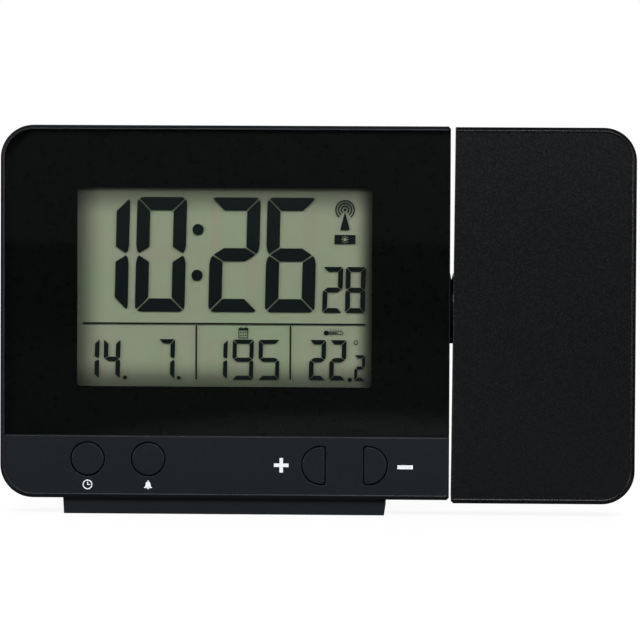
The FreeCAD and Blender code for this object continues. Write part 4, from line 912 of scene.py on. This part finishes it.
def make_floor():
    """Floor that is white to the camera; what the clock mirrors of it is a pool of light painted into its colour,
    with painted dim surroundings.
    """
    bm = bmesh.new()
    bmesh.ops.create_circle(bm, cap_ends=True, segments=96, radius=FLOOR_RADIUS)
    mesh = bpy.data.meshes.new("floor")
    bm.to_mesh(mesh)
    bm.free()
    material = new_material("floor_white")
    tree = material.node_tree
    geometry = tree.nodes.new("ShaderNodeNewGeometry")
    pool = add_node(tree, "ShaderNodeMapping")
    pool.inputs["Location"].default_value = (-POOL_CENTRE[0] / POOL_REACH[0], -POOL_CENTRE[1] / POOL_REACH[1], 0)
    pool.inputs["Scale"].default_value = (1 / POOL_REACH[0], 1 / POOL_REACH[1], 1)
    tree.links.new(geometry.outputs["Position"], pool.inputs["Vector"])
    distance = add_node(tree, "ShaderNodeVectorMath", operation="LENGTH")
    tree.links.new(pool.outputs["Vector"], distance.inputs[0])
    light = spread(tree, distance.outputs["Value"], 1.0, 0.0, 1 - POOL_BLUR, 1 + POOL_BLUR)
    # painted light: the floor's colour is lighter inside the pool and dim beyond
    shade = blend_colours(tree, light, FLOOR_DIM, FLOOR_PAINTED_POOL)
    matte = tree.nodes.new("ShaderNodeBsdfDiffuse")
    tree.links.new(shade, matte.inputs["Color"])
    seen = tree.nodes.new("ShaderNodeEmission")
    seen.inputs["Color"].default_value = (1, 1, 1, 1)
    path = tree.nodes.new("ShaderNodeLightPath")
    level = add_node(tree, "ShaderNodeMath", operation="MULTIPLY")
    tree.links.new(path.outputs["Is Camera Ray"], level.inputs[0])
    tree.links.new(spread(tree, light, 1.0, FLOOR_GLOW, 0.0, 1.0), level.inputs[1])
    tree.links.new(level.outputs["Value"], seen.inputs["Strength"])
    total = tree.nodes.new("ShaderNodeAddShader")
    tree.links.new(matte.outputs["BSDF"], total.inputs[0])
    tree.links.new(seen.outputs["Emission"], total.inputs[1])
    output = tree.nodes.new("ShaderNodeOutputMaterial")
    tree.links.new(total.outputs["Shader"], output.inputs["Surface"])
    mesh.materials.append(material)
    floor = bpy.data.objects.new("floor", mesh)
    bpy.context.scene.collection.objects.link(floor)


def make_world():
    """White to the camera; to all else, glossy and clear surfaces too, white behind the clock and dim in front."""
    world = bpy.data.worlds.new("studio")
    world.use_nodes = True
    tree = world.node_tree
    tree.nodes.clear()
    coordinates = tree.nodes.new("ShaderNodeTexCoord")
    parts = tree.nodes.new("ShaderNodeSeparateXYZ")
    tree.links.new(coordinates.outputs["Generated"], parts.inputs["Vector"])
    level = spread(tree, parts.outputs["Y"], ROOM_FRONT, ROOM_BACK, *ROOM_TURN)
    seen = tree.nodes.new("ShaderNodeBackground")
    seen.inputs["Color"].default_value = (1, 1, 1, 1)
    seen.inputs["Strength"].default_value = 1.0
    room = tree.nodes.new("ShaderNodeBackground")
    room.inputs["Color"].default_value = (1, 1, 1, 1)
    tree.links.new(level, room.inputs["Strength"])
    path = tree.nodes.new("ShaderNodeLightPath")
    mix = tree.nodes.new("ShaderNodeMixShader")
    tree.links.new(path.outputs["Is Camera Ray"], mix.inputs[0])
    tree.links.new(room.outputs["Background"], mix.inputs[1])
    tree.links.new(seen.outputs["Background"], mix.inputs[2])
    output = tree.nodes.new("ShaderNodeOutputWorld")
    tree.links.new(mix.outputs["Shader"], output.inputs["Surface"])
    bpy.context.scene.world = world


def add_lamp(name, place, aim, width, height, power):
    data = bpy.data.lights.new(name, "AREA")
    data.shape = "RECTANGLE"
    data.size = width
    data.size_y = height
    data.energy = power
    lamp = bpy.data.objects.new(name, data)
    lamp.location = place
    lamp.rotation_euler = (Vector(aim) - Vector(place)).to_track_quat("-Z", "Y").to_euler()
    bpy.context.scene.collection.objects.link(lamp)


def make_lamps():
    for name, place, width, height, power in LAMPS:
        add_lamp(name, place, LAMP_AIM, width, height, power)


def make_camera():
    yaw = math.radians(CAMERA_YAW)
    pitch = math.radians(CAMERA_PITCH)
    roll = math.radians(CAMERA_ROLL)
    forward = Vector((math.sin(yaw) * math.cos(pitch), math.cos(yaw) * math.cos(pitch), math.sin(pitch)))
    level = Vector((math.cos(yaw), -math.sin(yaw), 0))
    upright = level.cross(forward)
    right = level * math.cos(roll) + upright * math.sin(roll)
    up = upright * math.cos(roll) - level * math.sin(roll)
    data = bpy.data.cameras.new("camera")
    data.lens = CAMERA_LENS
    data.sensor_width = CAMERA_SENSOR
    data.clip_start = 0.05
    data.clip_end = 20.0
    camera = bpy.data.objects.new("camera", data)
    turn = Matrix((right, up, -forward)).transposed()
    camera.matrix_world = Matrix.Translation(CAMERA_PLACE) @ turn.to_4x4()
    bpy.context.scene.collection.objects.link(camera)
    bpy.context.scene.camera = camera


dress_nodes()
make_display()
make_strip_signs()
make_slit_sleeve()
make_back_signs()
make_screws()
make_floor()
make_world()
make_lamps()
make_camera()
bpy.context.scene.view_settings.view_transform = "Standard"
